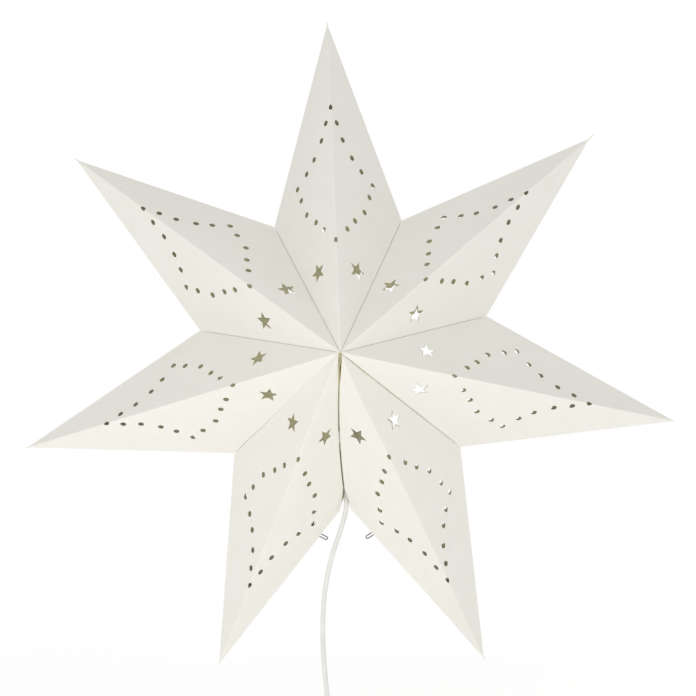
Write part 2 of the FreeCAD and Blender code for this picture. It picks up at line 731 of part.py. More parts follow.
def make_collar():
    """Band round the holder cap with a pivot pin in front and one behind."""
    inner = "(shell_radius + holder_clearance + cap_wall + collar_clearance)"
    band = turned("collar_band", [(inner, f"{COLLAR_TOP} - collar_height"),
                                  (COLLAR_OUTER, f"{COLLAR_TOP} - collar_height"),
                                  (COLLAR_OUTER, COLLAR_TOP), (inner, COLLAR_TOP)], seam_placement())
    pieces = [band]
    start = number(COLLAR_OUTER) - size("collar_wall") / 2
    for face in (FRONT, BACK):
        turn = Rotation(Vector(1, 0, 0), -90 * face)
        pieces.append(cylinder(f"pivot_{face % 3}", "pin_radius", "pin_length + collar_wall / 2",
                               lamp_at(PIVOT, 0, face * start, turn)))
        pieces.append(cylinder(f"pivot_head_{face % 3}", "pin_head_radius", "pin_head_height",
                               lamp_at(PIVOT, 0, face * number(f"{COLLAR_OUTER} + pin_length"), turn)))
    return fused("clip_collar", pieces)


def make_leg(label, side, face):
    """Spring wire leg: eye on its pin, a long run into the lower point, and the hairpin."""
    eye_y = face * number(f"{COLLAR_OUTER} + pin_length / 2")
    eye = seam_placement().multVec(Vector(0, eye_y, number(PIVOT)))
    place = hairpin_exit(side)[0]
    slope = math.radians(size("hairpin_slope"))
    out = Vector(-side * math.cos(slope), 0, -math.sin(slope))
    upper = Vector(-side * math.sin(slope), 0, math.cos(slope)) * size("hairpin_bend")
    bend = place - out * size("hairpin_root") + upper
    run = (bend - eye).normalize()
    start = eye + run * size("eye_radius")
    turn_start = place + out * (size("hairpin_reach") - size("hairpin_bend") - size("wire_radius"))
    crown = turn_start + out * size("hairpin_bend")
    tail = place - out * (size("hairpin_root") * 0.6) - upper
    edges = path_edges([start, bend, turn_start + upper], [3.0])
    edges.append(Part.Arc(turn_start + upper, crown, turn_start - upper).toShape())
    edges.append(Part.LineSegment(turn_start - upper, tail).toShape())
    wire = shaped(label + "_wire", swept(edges, size("wire_radius")))
    ring = primitive("Torus", label + "_eye", {"Radius1": "eye_radius", "Radius2": "wire_radius"},
                     Placement(eye, Rotation(Vector(1, 0, 0), 90)))
    return fused(label, [wire, ring])


# ---------------------------------------------------------------- tubes

def path_edges(places, radii):
    """Straight runs joined by tangent arcs of the given radii."""
    edges = []
    start = places[0]
    for i in range(1, len(places) - 1):
        before = (places[i] - places[i - 1]).normalize()
        after = (places[i + 1] - places[i]).normalize()
        half = before.getAngle(after) / 2
        cut_back = radii[i - 1] * math.tan(half)
        arc_start, arc_end = places[i] - before * cut_back, places[i] + after * cut_back
        inward = (after - before).normalize()
        middle = places[i] + inward * (radii[i - 1] / math.cos(half) - radii[i - 1])
        edges.append(Part.LineSegment(start, arc_start).toShape())
        edges.append(Part.Arc(arc_start, middle, arc_end).toShape())
        start = arc_end
    edges.append(Part.LineSegment(start, places[-1]).toShape())
    return edges


def swept(edges, radius):
    """A round solid along the edges, its volume compared with section times length."""
    path = Part.Wire(edges)
    start = edges[0].valueAt(edges[0].FirstParameter)
    along = edges[0].tangentAt(edges[0].FirstParameter)
    profile = Part.Wire(Part.Circle(start, along, radius).toShape())
    solid = path.makePipeShell([profile], True, False)
    expected = math.pi * radius ** 2 * path.Length
    if abs(solid.Volume / expected - 1) > 0.01:
        raise ValueError(f"tube volume {solid.Volume:.0f} differs from {expected:.0f}")
    return solid


def cord_radii(places):
    """As large an arc at each point as its two runs allow."""
    radii = []
    for i in range(1, len(places) - 1):
        before, after = places[i] - places[i - 1], places[i + 1] - places[i]
        half = before.getAngle(after) / 2
        radii.append(0.45 * min(before.Length, after.Length) / math.tan(half))
    return radii


def round_tube(places, radius, radii=None):
    """Solid and length of a round tube along a route."""
    edges = path_edges(places, radii or cord_radii(places))
    return swept(edges, radius), sum(edge.Length for edge in edges)


# ---------------------------------------------------------------- cord

def ground():
    return -size("tip_radius") - size("ground_drop")


def cord_height():
    """Middle of a cord that lies on the surface."""
    return ground() + size("cord_diameter") / 2


def from_centre(x, y, down):
    return centre() + Vector(x, y, -down)


def lead_route():
    """From the cord grip through the notch, down in a slow bow, and along the surface to the switch."""
    mouth = seam_placement().multVec(Vector(0, 0, -size("grip_mouth")))
    below = seam_placement().multVec(Vector(0, 0, -size("grip_mouth") - 14))
    hanging = [(-5.2, 0, 160), (-13.0, 0, 183), (-24.5, -1, 211), (-34.0, -3, 249), (-38.0, -5, 298),
               (-36.0, -9, 346), (-34.0, -15, 372)]
    lying = [(-32.0, -33, 3.4), (-31.0, -58, 0), (-30.0, -77, 0), (-27.0, -99, 0.6), (-21.0, -119, 2.2),
             (-11.0, -134, 4.6)]
    places = [mouth, below] + [from_centre(*place) for place in hanging]
    places += [Vector(x, y, cord_height() + lift) for x, y, lift in lying]
    entry = switch_entry(-1)
    return places + [entry - Vector(16.5, 0, 0), entry]


def switch_entry(side):
    """Where the cord enters the switch at its left or right end."""
    x = size("switch_x") + (size("switch_length") if side > 0 else 0)
    return Vector(x, size("switch_y"), ground() + size("switch_base_height"))


def coil_height(layer):
    lift = size("tie_thickness") + size("tie_clearance")
    return cord_height() + lift + layer * size("coil_pitch")


def coil_point(turns):
    """Place on the coil's line: it spirals in and out steadily and climbs where it reverses."""
    per_layer = size("coil_layer_turns")
    cycle = per_layer + 0.5
    pitch = size("coil_pitch")
    first_reverse = per_layer + 0.25
    passed = max(0, math.floor((turns - first_reverse) / cycle) + 1)
    inner = size("coil_outer") - first_reverse * pitch
    since = turns if passed == 0 else turns - first_reverse - (passed - 1) * cycle
    if passed == 0:
        radius = size("coil_outer") - since * pitch
    elif passed % 2:
        radius = inner + since * pitch
    else:
        radius = inner + (cycle - since) * pitch
    layer = min(3, int(turns / cycle))
    climb = max(0.0, (turns - layer * cycle - per_layer) / 0.5)
    climb = climb * climb * (3 - 2 * climb)
    angle = 2 * math.pi * turns - math.pi / 2
    return Vector(size("coil_x") + radius * math.cos(angle), size("coil_y") + radius * math.sin(angle),
                  coil_height(layer + climb))


def coil_turns():
    return 4 * size("coil_layer_turns") + 1.5


def coil_tangent(turns):
    small = 1e-3
    low, high = max(0.0, turns - small), min(coil_turns(), turns + small)
    return (coil_point(high) - coil_point(low)).normalize()


def biarc(start, start_way, end, end_way):
    """Two tangent arcs from one place and direction to another."""
    gap = end - start
    ways = start_way + end_way
    a = 2 * (1 - start_way.dot(end_way))
    b = 2 * gap.dot(ways)
    c = -gap.dot(gap)
    if a < 1e-9:
        reach = -c / b
    else:
        reach = (-b + math.sqrt(b * b - 4 * a * c)) / (2 * a)
    corner_one, corner_two = start + start_way * reach, end - end_way * reach
    joint = (corner_one + corner_two) * 0.5
    return [arc_by_corner(start, corner_one, joint), arc_by_corner(joint, corner_two, end)]


def arc_by_corner(start, corner, end):
    """The arc from start to end whose end tangents meet in a corner."""
    before, after = (corner - start).normalize(), (end - corner).normalize()
    half = before.getAngle(after) / 2
    if half < 1e-5:
        return Part.LineSegment(start, end).toShape()
    radius = (corner - start).Length / math.tan(half)
    inward = (after - before).normalize()
    middle = corner + inward * (radius / math.cos(half) - radius)
    return Part.Arc(start, middle, end).toShape()


def make_coil():
    """The put-away length as one unbroken tube, with a straight end at each side."""
    steps = int(round(coil_turns() * 4))
    turns = [coil_turns() * i / steps for i in range(steps + 1)]
    places = [coil_point(turn) for turn in turns]
    ways = [coil_tangent(turn) for turn in turns]
    ways[0], ways[-1] = Vector(1, 0, 0), Vector(-1, 0, 0)
    edges = [Part.LineSegment(coil_end(0), places[0]).toShape()]
    for i in range(steps):
        edges += biarc(places[i], ways[i], places[i + 1], ways[i + 1])
    edges.append(Part.LineSegment(places[-1], coil_end(1)).toShape())
    print_self_gap(edges)
    return shaped("cord_coil", swept(edges, size("cord_diameter") / 2)), sum(e.Length for e in edges)


def coil_end(last):
    """Outer end of the coil's straight lead-in or lead-out, one diameter long."""
    place = coil_point(coil_turns() if last else 0.0)
    return place - Vector(size("cord_diameter"), 0, 0)


def print_self_gap(edges):
    """Least gap between two stretches of the coil that lie more than half a turn apart."""
    samples = []
    for edge in edges:
        for part in range(6):
            where = edge.FirstParameter + (edge.LastParameter - edge.FirstParameter) * part / 6
            samples.append(edge.valueAt(where))
    apart = 36
    least = min((samples[i] - samples[j]).Length
                for i in range(len(samples)) for j in range(i + apart, len(samples)))
    print(f"coil: {coil_turns()} turns, least gap to itself {least - size('cord_diameter'):.2f} mm")


def link_route():
    """Short stretch from the switch to the coil."""
    start, end = switch_entry(1), coil_end(0)
    return [start, start + Vector(13, 0, 0), start + Vector(29, 4.8, -2.6), end - Vector(13.8, 0, 0), end]


def make_tail():
    """From the coil in a flat S-bend down to the plug's strain relief."""
    start, end = coil_end(1), relief_mouth()
    way = Vector(-1, 0, 0)
    bend_start = start + way * size("tail_straight")
    bend_end = end - way * size("tail_straight")
    edges = [Part.LineSegment(start, bend_start).toShape()]
    edges += biarc(bend_start, way, bend_end, way)
    edges.append(Part.LineSegment(bend_end, end).toShape())
    length = sum(edge.Length for edge in edges)
    print(f"cord_tail: {length:.0f} mm, radius {edges[1].Curve.Radius:.0f}")
    return shaped("cord_tail", swept(edges, size("cord_diameter") / 2)), length


def make_cords():
    radius = size("cord_diameter") / 2
    nodes = []
    total = 0.0
    for label, route in (("cord_lead", lead_route()), ("cord_link", link_route())):
        solid, length = round_tube(route, radius)
        total += length
        print(f"{label}: {length:.0f} mm, radii", [round(r) for r in cord_radii(route)])
        nodes.append(shaped(label, solid))
    tail, tail_length = make_tail()
    coil, length = make_coil()
    print(f"cord_coil: {length:.0f} mm; whole cord {total + tail_length + length:.0f} mm")
    return nodes + [tail, coil, make_tie()]


def make_tie():
    """Band round the coil's bundle at its right side."""
    radius = size("cord_diameter") / 2
    space = size("tie_clearance")
    inner = size("coil_outer") - (size("coil_layer_turns") + 0.25) * size("coil_pitch") - radius - space
    outer = size("coil_outer") + 0.25 * size("coil_pitch") + radius + space
    low = coil_height(0) - radius - space
    high = coil_height(3) + radius + space
    wall, width = size("tie_thickness"), size("tie_width")
    whole = Part.makeBox(outer - inner + 2 * wall, width, high - low + 2 * wall,
                         Vector(size("coil_x") + inner - wall, size("coil_y") - width / 2, low - wall))
    hollow = Part.makeBox(outer - inner, width * 2, high - low,
                          Vector(size("coil_x") + inner, size("coil_y") - width, low))
    upright = [edge for edge in whole.Edges if edge.BoundBox.YLength > width / 2]
    return shaped("cord_tie", whole.makeFillet(wall * 1.5, upright).cut(hollow))


# ---------------------------------------------------------------- inline switch

def switch_at(x=0.0, y=0.0, z=0.0, rotation=None):
    """Placement from the middle of the switch's underside."""
    base = Vector(size("switch_x") + size("switch_length") / 2, size("switch_y"), ground())
    return Placement(base + Vector(x, y, z), rotation or Rotation())


def half_case(label, height, open_up):
    """One half of the switch's case: a rounded tray, open upwards or downwards."""
    body = new_body(label + "_tray")
    outline = [(f"{sx} * switch_length / 2", f"{sy} * switch_width / 2")
               for sx, sy in ((-1, -1), (1, -1), (1, 1), (-1, 1))]
    pad(body, outline_sketch(body, "XY_Plane", outline), height)
    doc.recompute()
    tray = body.Tip
    upright = [f"Edge{i + 1}" for i, edge in enumerate(tray.Shape.Edges)
               if edge.BoundBox.ZLength > edge.BoundBox.XLength + edge.BoundBox.YLength]
    fillet = body.newObject("PartDesign::Fillet", label + "_round")
    fillet.Base = (tray, upright)
    fillet.setExpression("Radius", bound("switch_round"))
    inner = block(label + "_room", "switch_length - 2 * switch_wall", "switch_width - 2 * switch_wall",
                  f"{height} - switch_wall")
    x = -number("switch_length / 2 - switch_wall")
    y = -number("switch_width / 2 - switch_wall")
    z = size("switch_wall") if open_up else 0.0
    lift = 0.0 if open_up else size("switch_base_height")
    body.Placement = switch_at(0, 0, lift)
    inner.Placement = switch_at(x, y, lift + z)
    return body, inner


def make_switch():
    base, base_room = half_case("switch_base", "switch_base_height", True)
    cover, cover_room = half_case("switch_cover", "switch_cover_height", False)
    top = number("switch_base_height + switch_cover_height")
    window = block("switch_window", "rocker_length + 2 * rocker_gap", "rocker_width + 2 * rocker_gap",
                   "switch_wall * 3",
                   switch_at(-number("rocker_length / 2 + rocker_gap"),
                             -number("rocker_width / 2 + rocker_gap"), top - 2 * size("switch_wall")))
    bearings = [make_bearing(side) for side in (1, -1)]
    holes = [make_screw_hole(side) for side in (1, -1)]
    cover_cut = cut("switch_cover_open", cover, fused("switch_cover_space", [cover_room, window]))
    cover_solid = fused("switch_cover_full", [cover_cut] + bearings)
    cover_node = cut("switch_cover", cover_solid, fused("switch_cover_bores", [trunnion_hole()] + holes))
    posts = [make_post(side) for side in (1, -1)]
    base_cut = cut("switch_base_open", base, base_room)
    base_node = cut("switch_base", fused("switch_base_full", [base_cut] + posts),
                    fused("switch_base_bores", [make_screw_hole(side, "lower") for side in (1, -1)]))
    return [base_node, cover_node, make_rocker(), make_blade(), make_switch_screws()]


PIVOT_LEVEL = "(switch_base_height + switch_cover_height - switch_wall - trunnion_radius - 0.6)"


def make_bearing(side):
    """Cheek under the cover that carries one end of the rocker's pivot."""
    thickness = "(trunnion_length + 0.8)"
    y = number("rocker_width / 2 + rocker_gap")
    low = number(f"{PIVOT_LEVEL} - trunnion_radius - 1")
    depth = y if side > 0 else -y - number(thickness)
    return block(f"bearing_{side % 3}", "6 * trunnion_radius", thickness,
                 f"switch_base_height + switch_cover_height - switch_wall / 2 - {low}",
                 switch_at(-3 * size("trunnion_radius"), depth, low))


def trunnion_hole():
    reach = number("rocker_width + 2 * rocker_gap + 2 * trunnion_length + 0.4")
    return cylinder("trunnion_hole", "trunnion_radius + trunnion_clearance", str(reach),
                    switch_at(0, reach / 2, number(PIVOT_LEVEL), Rotation(Vector(1, 0, 0), 90)))


def post_place(side):
    """Where a case screw stands, from the switch's middle."""
    return side * number("switch_length / 2 - switch_wall - 6")


def make_post(side):
    return cylinder(f"post_{side % 3}", "3.2", "switch_base_height - switch_wall / 2",
                    switch_at(post_place(side), number("switch_width / 2 - switch_wall - 4"),
                              size("switch_wall") / 2))


def make_screw_hole(side, half="upper"):
    return cylinder(f"case_hole_{half}_{side % 3}", "screw_radius + holder_clearance",
                    "switch_base_height + switch_cover_height",
                    switch_at(post_place(side), number("switch_width / 2 - switch_wall - 4"),
                              size("switch_wall")))


def make_switch_screws():
    """Two screws from above, heads on the cover."""
    screws = []
    y = number("switch_width / 2 - switch_wall - 4")
    top = number("switch_base_height + switch_cover_height")
    for side in (1, -1):
        x = post_place(side)
        shank = cylinder(f"case_shank_{side % 3}", "screw_radius", f"{top} - 2 * switch_wall",
                         switch_at(x, y, 2 * size("switch_wall")))
        head = cylinder(f"case_head_{side % 3}", "screw_head_radius", "screw_head_height / 2",
                        switch_at(x, y, top))
        screws.append(fused(f"case_screw_{side % 3}", [shank, head]))
    return grouped("switch_screws", screws)


def make_rocker():
    """Rocker with a hollowed top on two trunnions, resting tilted to its off side."""
    body = new_body("rocker_pad")
    top = f"switch_base_height + switch_cover_height + 1.2 - {PIVOT_LEVEL}"
    corners = [("-rocker_length / 2", f"{top} + rocker_crown"), ("0", top),
               ("rocker_length / 2", f"{top} + rocker_crown"), ("rocker_length / 2 - 1", "0"),
               ("3", f"{top} - rocker_height"), ("-3", f"{top} - rocker_height"),
               ("1 - rocker_length / 2", "0")]
    pad(body, outline_sketch(body, "XZ_Plane", corners), "rocker_width", both_ways=True)
    reach = "rocker_width + 2 * rocker_gap + 2 * trunnion_length"
    pin = cylinder("rocker_pin", "trunnion_radius", reach,
                   at(0, number(reach) / 2, 0, Rotation(Vector(1, 0, 0), 90)))
    rocker = fused("switch_rocker", [body, pin])
    rocker.Placement = switch_at(0, 0, number(PIVOT_LEVEL),
                                 Rotation(Vector(0, 1, 0), -size("rocker_tilt")))
    return rocker


def make_blade():
    """Spring blade on the case's floor under the rocker."""
    blade = block("switch_blade", "rocker_length", "rocker_width", "contact_strip * 2",
                  switch_at(-size("rocker_length") / 2, -size("rocker_width") / 2, size("switch_wall")))
    blade.Label = "switch_blade"
    return blade


# ---------------------------------------------------------------- plug

def plug_level():
    return ground() + size("plug_height") / 2


def relief_mouth():
    """Where the cord leaves the plug's strain relief."""
    return Vector(number("plug_x + plug_length + relief_length"), size("plug_y"), plug_level())


def make_plug():
    """Flat two-pin plug, lying with its pins to the left."""
    body = new_body("plug_block")
    outline = [("0", "-plug_width / 2"), ("plug_length * 0.45", "-plug_width / 2"),
               ("plug_length", "-plug_tail_width / 2"), ("plug_length", "plug_tail_width / 2"),
               ("plug_length * 0.45", "plug_width / 2"), ("0", "plug_width / 2")]
    pad(body, outline_sketch(body, "XY_Plane", outline), "plug_height")
    doc.recompute()
    base = body.Tip
    long_edges = [f"Edge{i + 1}" for i, edge in enumerate(base.Shape.Edges)
                  if edge.BoundBox.XMax > 0.1]
    fillet = body.newObject("PartDesign::Fillet", "plug_edges")
    fillet.Base = (base, long_edges)
    fillet.setExpression("Radius", bound("plug_round"))
    body.Placement = at(size("plug_x"), size("plug_y"), ground())
    along_x = Rotation(Vector(0, 1, 0), 90)
    relief = primitive("Cone", "plug_relief",
                       {"Radius1": "relief_radius", "Radius2": "cord_diameter / 2 + 0.8",
                        "Height": "relief_length + 1"},
                       Placement(relief_mouth() - Vector(size("relief_length") + 1, 0, 0), along_x))
    sleeves = [prong(f"prong_sleeve_{side % 3}", side, "prong_sleeve_radius",
                     "prong_sleeve_length + 1", "1") for side in (1, -1)]
    sockets = [prong(f"prong_socket_{side % 3}", side, "prong_core_radius",
                     "prong_root + prong_sleeve_length", "prong_root") for side in (1, -1)]
    shell = cut("plug_body", fused("plug_solid", [body, relief] + sleeves), fused("prong_sockets", sockets))
    prongs = []
    for side in (1, -1):
        core = prong(f"prong_core_{side % 3}", side, "prong_core_radius",
                     "prong_root + prong_length", "prong_root")
        end = prong(f"prong_end_{side % 3}", side, "prong_radius",
                    "prong_length - prong_sleeve_length", "-prong_sleeve_length")
        prongs.append(fused(f"prong_{side % 3}", [core, end]))
    return [shell, grouped("plug_pins", prongs)]


def prong(name, side, radius, length, depth):
    """A round piece along one pin, starting at a depth inside the plug's face and running outwards."""
    start = Vector(number(f"plug_x + {depth}"), size("plug_y") + side * size("prong_spread") / 2,
                   plug_level())
    return cylinder(name, radius, length, Placement(start, Rotation(Vector(0, 1, 0), -90)))


# ---------------------------------------------------------------- build and write

def check(nodes):
    """Stop if any feature failed or any sub-part has no valid shape."""
    for item in doc.Objects:
        bad = [state for state in item.State if state in ("Invalid", "Error")]
        if bad:
            raise ValueError(f"{item.Label} is {bad}")
    for node in nodes:
        shape = node.Shape
        if shape.isNull() or not shape.isValid() or not shape.Solids:
            raise ValueError(f"{node.Label} has no valid solid")


def main():
    fill_sheet()
    nodes = make_sheets() + make_pads()
    nodes += [make_shell(), make_core(), make_sleeve(), make_screws(), make_cap(), make_grip()]
    nodes += make_contacts() + [make_conductors()]
    nodes += make_bulb()
    nodes += [make_collar(), make_leg("clip_leg_right", 1, FRONT), make_leg("clip_leg_left", -1, BACK)]
    nodes += make_cords() + make_switch() + make_plug()
    doc.recompute()
    check(nodes)
    os.makedirs("parts", exist_ok=True)
    for node in nodes:
        node.Shape.exportStep(f"parts/{node.Label}.step")
        box = node.Shape.BoundBox
        print(f"{node.Label}: {len(node.Shape.Solids)} solid(s), {node.Shape.Volume:.1f} mm3, "
              f"x {box.XMin:.1f}..{box.XMax:.1f} y {box.YMin:.1f}..{box.YMax:.1f} "
              f"z {box.ZMin:.1f}..{box.ZMax:.1f}")
    print(len(nodes), "nodes")


main()
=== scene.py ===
"""Looks of the folded seven-point paper star pendant with its lamp set and cord.

Metres, in the part's own frame: the origin is the tip of the top point, X to the right, Y to the
back, Z up. The front cone of the star points to -Y.
"""
import math
import random
import bmesh
import bpy
import numpy as np
from mathutils import Matrix, Vector


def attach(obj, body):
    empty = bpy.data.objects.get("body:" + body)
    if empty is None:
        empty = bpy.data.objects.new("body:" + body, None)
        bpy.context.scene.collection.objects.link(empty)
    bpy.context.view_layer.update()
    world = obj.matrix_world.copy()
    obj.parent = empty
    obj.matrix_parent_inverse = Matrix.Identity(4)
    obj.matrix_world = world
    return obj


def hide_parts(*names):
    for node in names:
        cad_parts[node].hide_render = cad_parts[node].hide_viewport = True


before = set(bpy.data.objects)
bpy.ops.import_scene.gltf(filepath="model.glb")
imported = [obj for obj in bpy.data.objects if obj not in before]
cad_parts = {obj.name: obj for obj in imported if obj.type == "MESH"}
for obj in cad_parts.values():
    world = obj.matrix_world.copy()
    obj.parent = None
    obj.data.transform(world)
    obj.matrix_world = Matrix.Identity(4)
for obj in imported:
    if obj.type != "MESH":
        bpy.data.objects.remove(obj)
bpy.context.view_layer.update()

# ---------------- sizes of the star

TIP_RADIUS = 0.350
NOTCH_RADIUS = 0.155
HALF_DEPTH = 0.137
CARD = 0.0004
UNEVEN_TURN = 2.4              # degrees by which two points open more or less than the rest
CENTRE = Vector((0, 0, -TIP_RADIUS))
STEP = 360 / 7
SEAM = 3                       # the open seam is the valley after this point
FRONT, BACK = -1, 1

# node, share of the uneven turn in its opening, degrees by which its ridge leans clockwise
POINTS = (
    ("point_top", 0, 0.0),
    ("point_upper_right", 0, 0.0),
    ("point_right", 1, 0.0),
    ("point_lower_right", 0, 1.1),
    ("point_lower_left", -1, -1.8),
    ("point_left", 0, 0.0),
    ("point_upper_left", 0, 0.0),
)

# Round holes of one panel: along the ridge from the centre, and off the ridge.
PUNCHES = (
    (0.2770, 0.0), (0.2610, 0.0086), (0.2440, 0.0165), (0.2275, 0.0295), (0.2165, 0.0430),
    (0.2058, 0.0595), (0.1903, 0.0535), (0.1700, 0.0450), (0.1552, 0.0300), (0.1420, 0.0180),
    (0.1245, 0.0),
)
STAR_CUT = (0.0986, 0.0298)    # likewise, a panel's star
# How far a back star cut lies off its place, to the right and up, by point and side.
BACK_CUT_SHIFTS = {(1, -1): (-0.0011, 0.0016), (1, 1): (0.0, 0.0033), (2, -1): (0.0011, 0.0033),
                   (3, -1): (-0.0027, -0.0011), (5, -1): (0.0033, 0.0), (6, 1): (-0.0022, 0.0022)}
HOLE_RADIUS = 0.00315
STAR_CUT_RADIUS = 0.011
STAR_CUT_WAIST = 0.0048

# Glue flaps along the valleys, with their ends further from the centre and the notch at the seam.
FLAP_WIDTH = 0.010
FLAP_CHAMFER = 0.012
FLAP_INSET = 0.006
SEAM_FLAP_TOP = 0.045
SEAM_FLAP_END = 0.022

# The flat tab past each tip, and how far each tip lies off its place, to the right and up.
TIP_TABS = (0.0024, 0.0075, 0.0005, 0.0028, 0.0015, 0.0028, 0.0032)
TIP_SHIFTS = ((-0.0009, 0.0011), (-0.0051, -0.0027), (0.0024, -0.0002), (-0.0017, 0.0001),
              (0.0003, -0.0011), (0.0009, -0.0022), (0.0, 0.0035))
TIP_TAB_HALF = 0.0009
FRONT_MIDDLE_SHIFT = (0.0010, 0.0020)
FOLD_RADIUS = 0.0007
VALLEY_FOLD_RADIUS = FOLD_RADIUS * 0.6


# ---------------- small helpers

def new_object(name, data):
    thing = bpy.data.objects.new(name, data)
    bpy.context.scene.collection.objects.link(thing)
    return thing


def wired(tree, kind, sockets=None, **settings):
    """A new node with its settings, each socket given a value or another node's output."""
    node = tree.nodes.new(kind)
    for key, value in settings.items():
        setattr(node, key, value)
    for key, value in (sockets or {}).items():
        if isinstance(value, bpy.types.NodeSocket):
            tree.links.new(value, node.inputs[key])
        else:
            node.inputs[key].default_value = value
    return node


def moved(x, y, z):
    return Matrix.Translation((x, y, z))


def turned(degrees, axis):
    return Matrix.Rotation(math.radians(degrees), 4, axis)


def soft_max(value, floor, width):
    """The larger of two numbers, with a rounded change-over."""
    over = value - floor
    return floor + (over + np.sqrt(over * over + width * width)) / 2


def ease(value):
    value = np.clip(value, 0.0, 1.0)
    return value * value * (3 - 2 * value)


# ---------------- the star's lines

def opening(index):
    return STEP + POINTS[index][1] * UNEVEN_TURN


def valley_turn(index):
    """Clockwise angle from straight up to the valley after a point."""
    return -STEP / 2 + sum(opening(i) for i in range(index + 1))


def ridge_turn(index):
    return valley_turn(index) - opening(index) / 2 + POINTS[index][2]


def rim(turn, radius):
    angle = math.radians(turn)
    return CENTRE + Vector((radius * math.sin(angle), 0, radius * math.cos(angle)))


def square_to(vector, along):
    return (vector - along * vector.dot(along)).normalized()


class Panel:
    """One flat triangle of a point, and how its flat drawing folds into place."""

    def __init__(self, index, side, face):
        self.tab = TIP_TABS[index]
        self.apex = CENTRE + Vector((0, face * HALF_DEPTH, 0))
        tip = rim(ridge_turn(index), TIP_RADIUS)
        turn = valley_turn(index) if side > 0 else valley_turn(index) - opening(index)
        notch = rim(turn, NOTCH_RADIUS)
        self.ridge = (tip - self.apex).normalized()
        self.ridge_length = (tip - self.apex).length
        self.across = square_to(notch - self.apex, self.ridge)
        self.notch_along = (notch - self.apex).dot(self.ridge)
        self.notch_off = (notch - self.apex).dot(self.across)
        self.valley_length = (notch - self.apex).length
        self.valley = (notch - self.apex).normalized()
        self.inward = square_to(CENTRE - self.apex, self.valley)
        self.to_ridge = square_to(tip - self.apex, self.valley)
        middle = self.valley.cross(self.inward).normalized()
        self.away = middle if middle.dot(tip - self.apex) > 0 else -middle
        normal = self.ridge.cross(self.across).normalized()
        self.outward = normal if normal.y * face > 0 else -normal
        self.at_seam = (index, side) in ((SEAM, 1), (SEAM + 1, -1))
        rim_run = self.ridge_length - self.notch_along
        self.slit_along = self.notch_along + rim_run * HAIRPIN_PLACE / (tip - notch).length

    def flat_valley(self, along, off):
        """A place measured along the valley and beyond it, in the flat drawing."""
        way = Vector((self.notch_along, self.notch_off)) / self.valley_length
        beyond = Vector((-way.y, way.x))
        place = way * along + beyond * off
        return place.x, place.y

    def flat_shift(self, right, up):
        """The move in the flat drawing that shows as a move to the right and up."""
        drawn = np.array(((self.ridge.x, self.across.x), (self.ridge.z, self.across.z)))
        return np.linalg.solve(drawn, (right, up))

    def outline(self):
        """Corners from the centre end round the glue flap and the notch to the tip."""
        top, end = (SEAM_FLAP_TOP, SEAM_FLAP_END) if self.at_seam else (FLAP_INSET, FLAP_INSET)
        length = self.valley_length
        corners = [self.flat_valley(top, 0), self.flat_valley(top + FLAP_CHAMFER, FLAP_WIDTH),
                   self.flat_valley(length - end - FLAP_CHAMFER, FLAP_WIDTH),
                   self.flat_valley(length - end, 0), (self.notch_along, self.notch_off)]
        slope = self.notch_off / (self.ridge_length - self.notch_along)
        shoulder = TIP_TAB_HALF * 1.3
        corners.append((self.ridge_length - shoulder / slope, shoulder))
        corners.append((self.ridge_length + self.tab, TIP_TAB_HALF))
        return corners


# ---------------- perforated card

OUTLINE_POINT, HOLE_POINT, STAR_POINT = 0, 1, 2
FOLD_ROWS = (0.0009, 0.0022)   # closer rows of the mesh beside a fold
NET_STEP = 0.012               # the even net across the panels
NET_HALF_WIDTH = 0.096


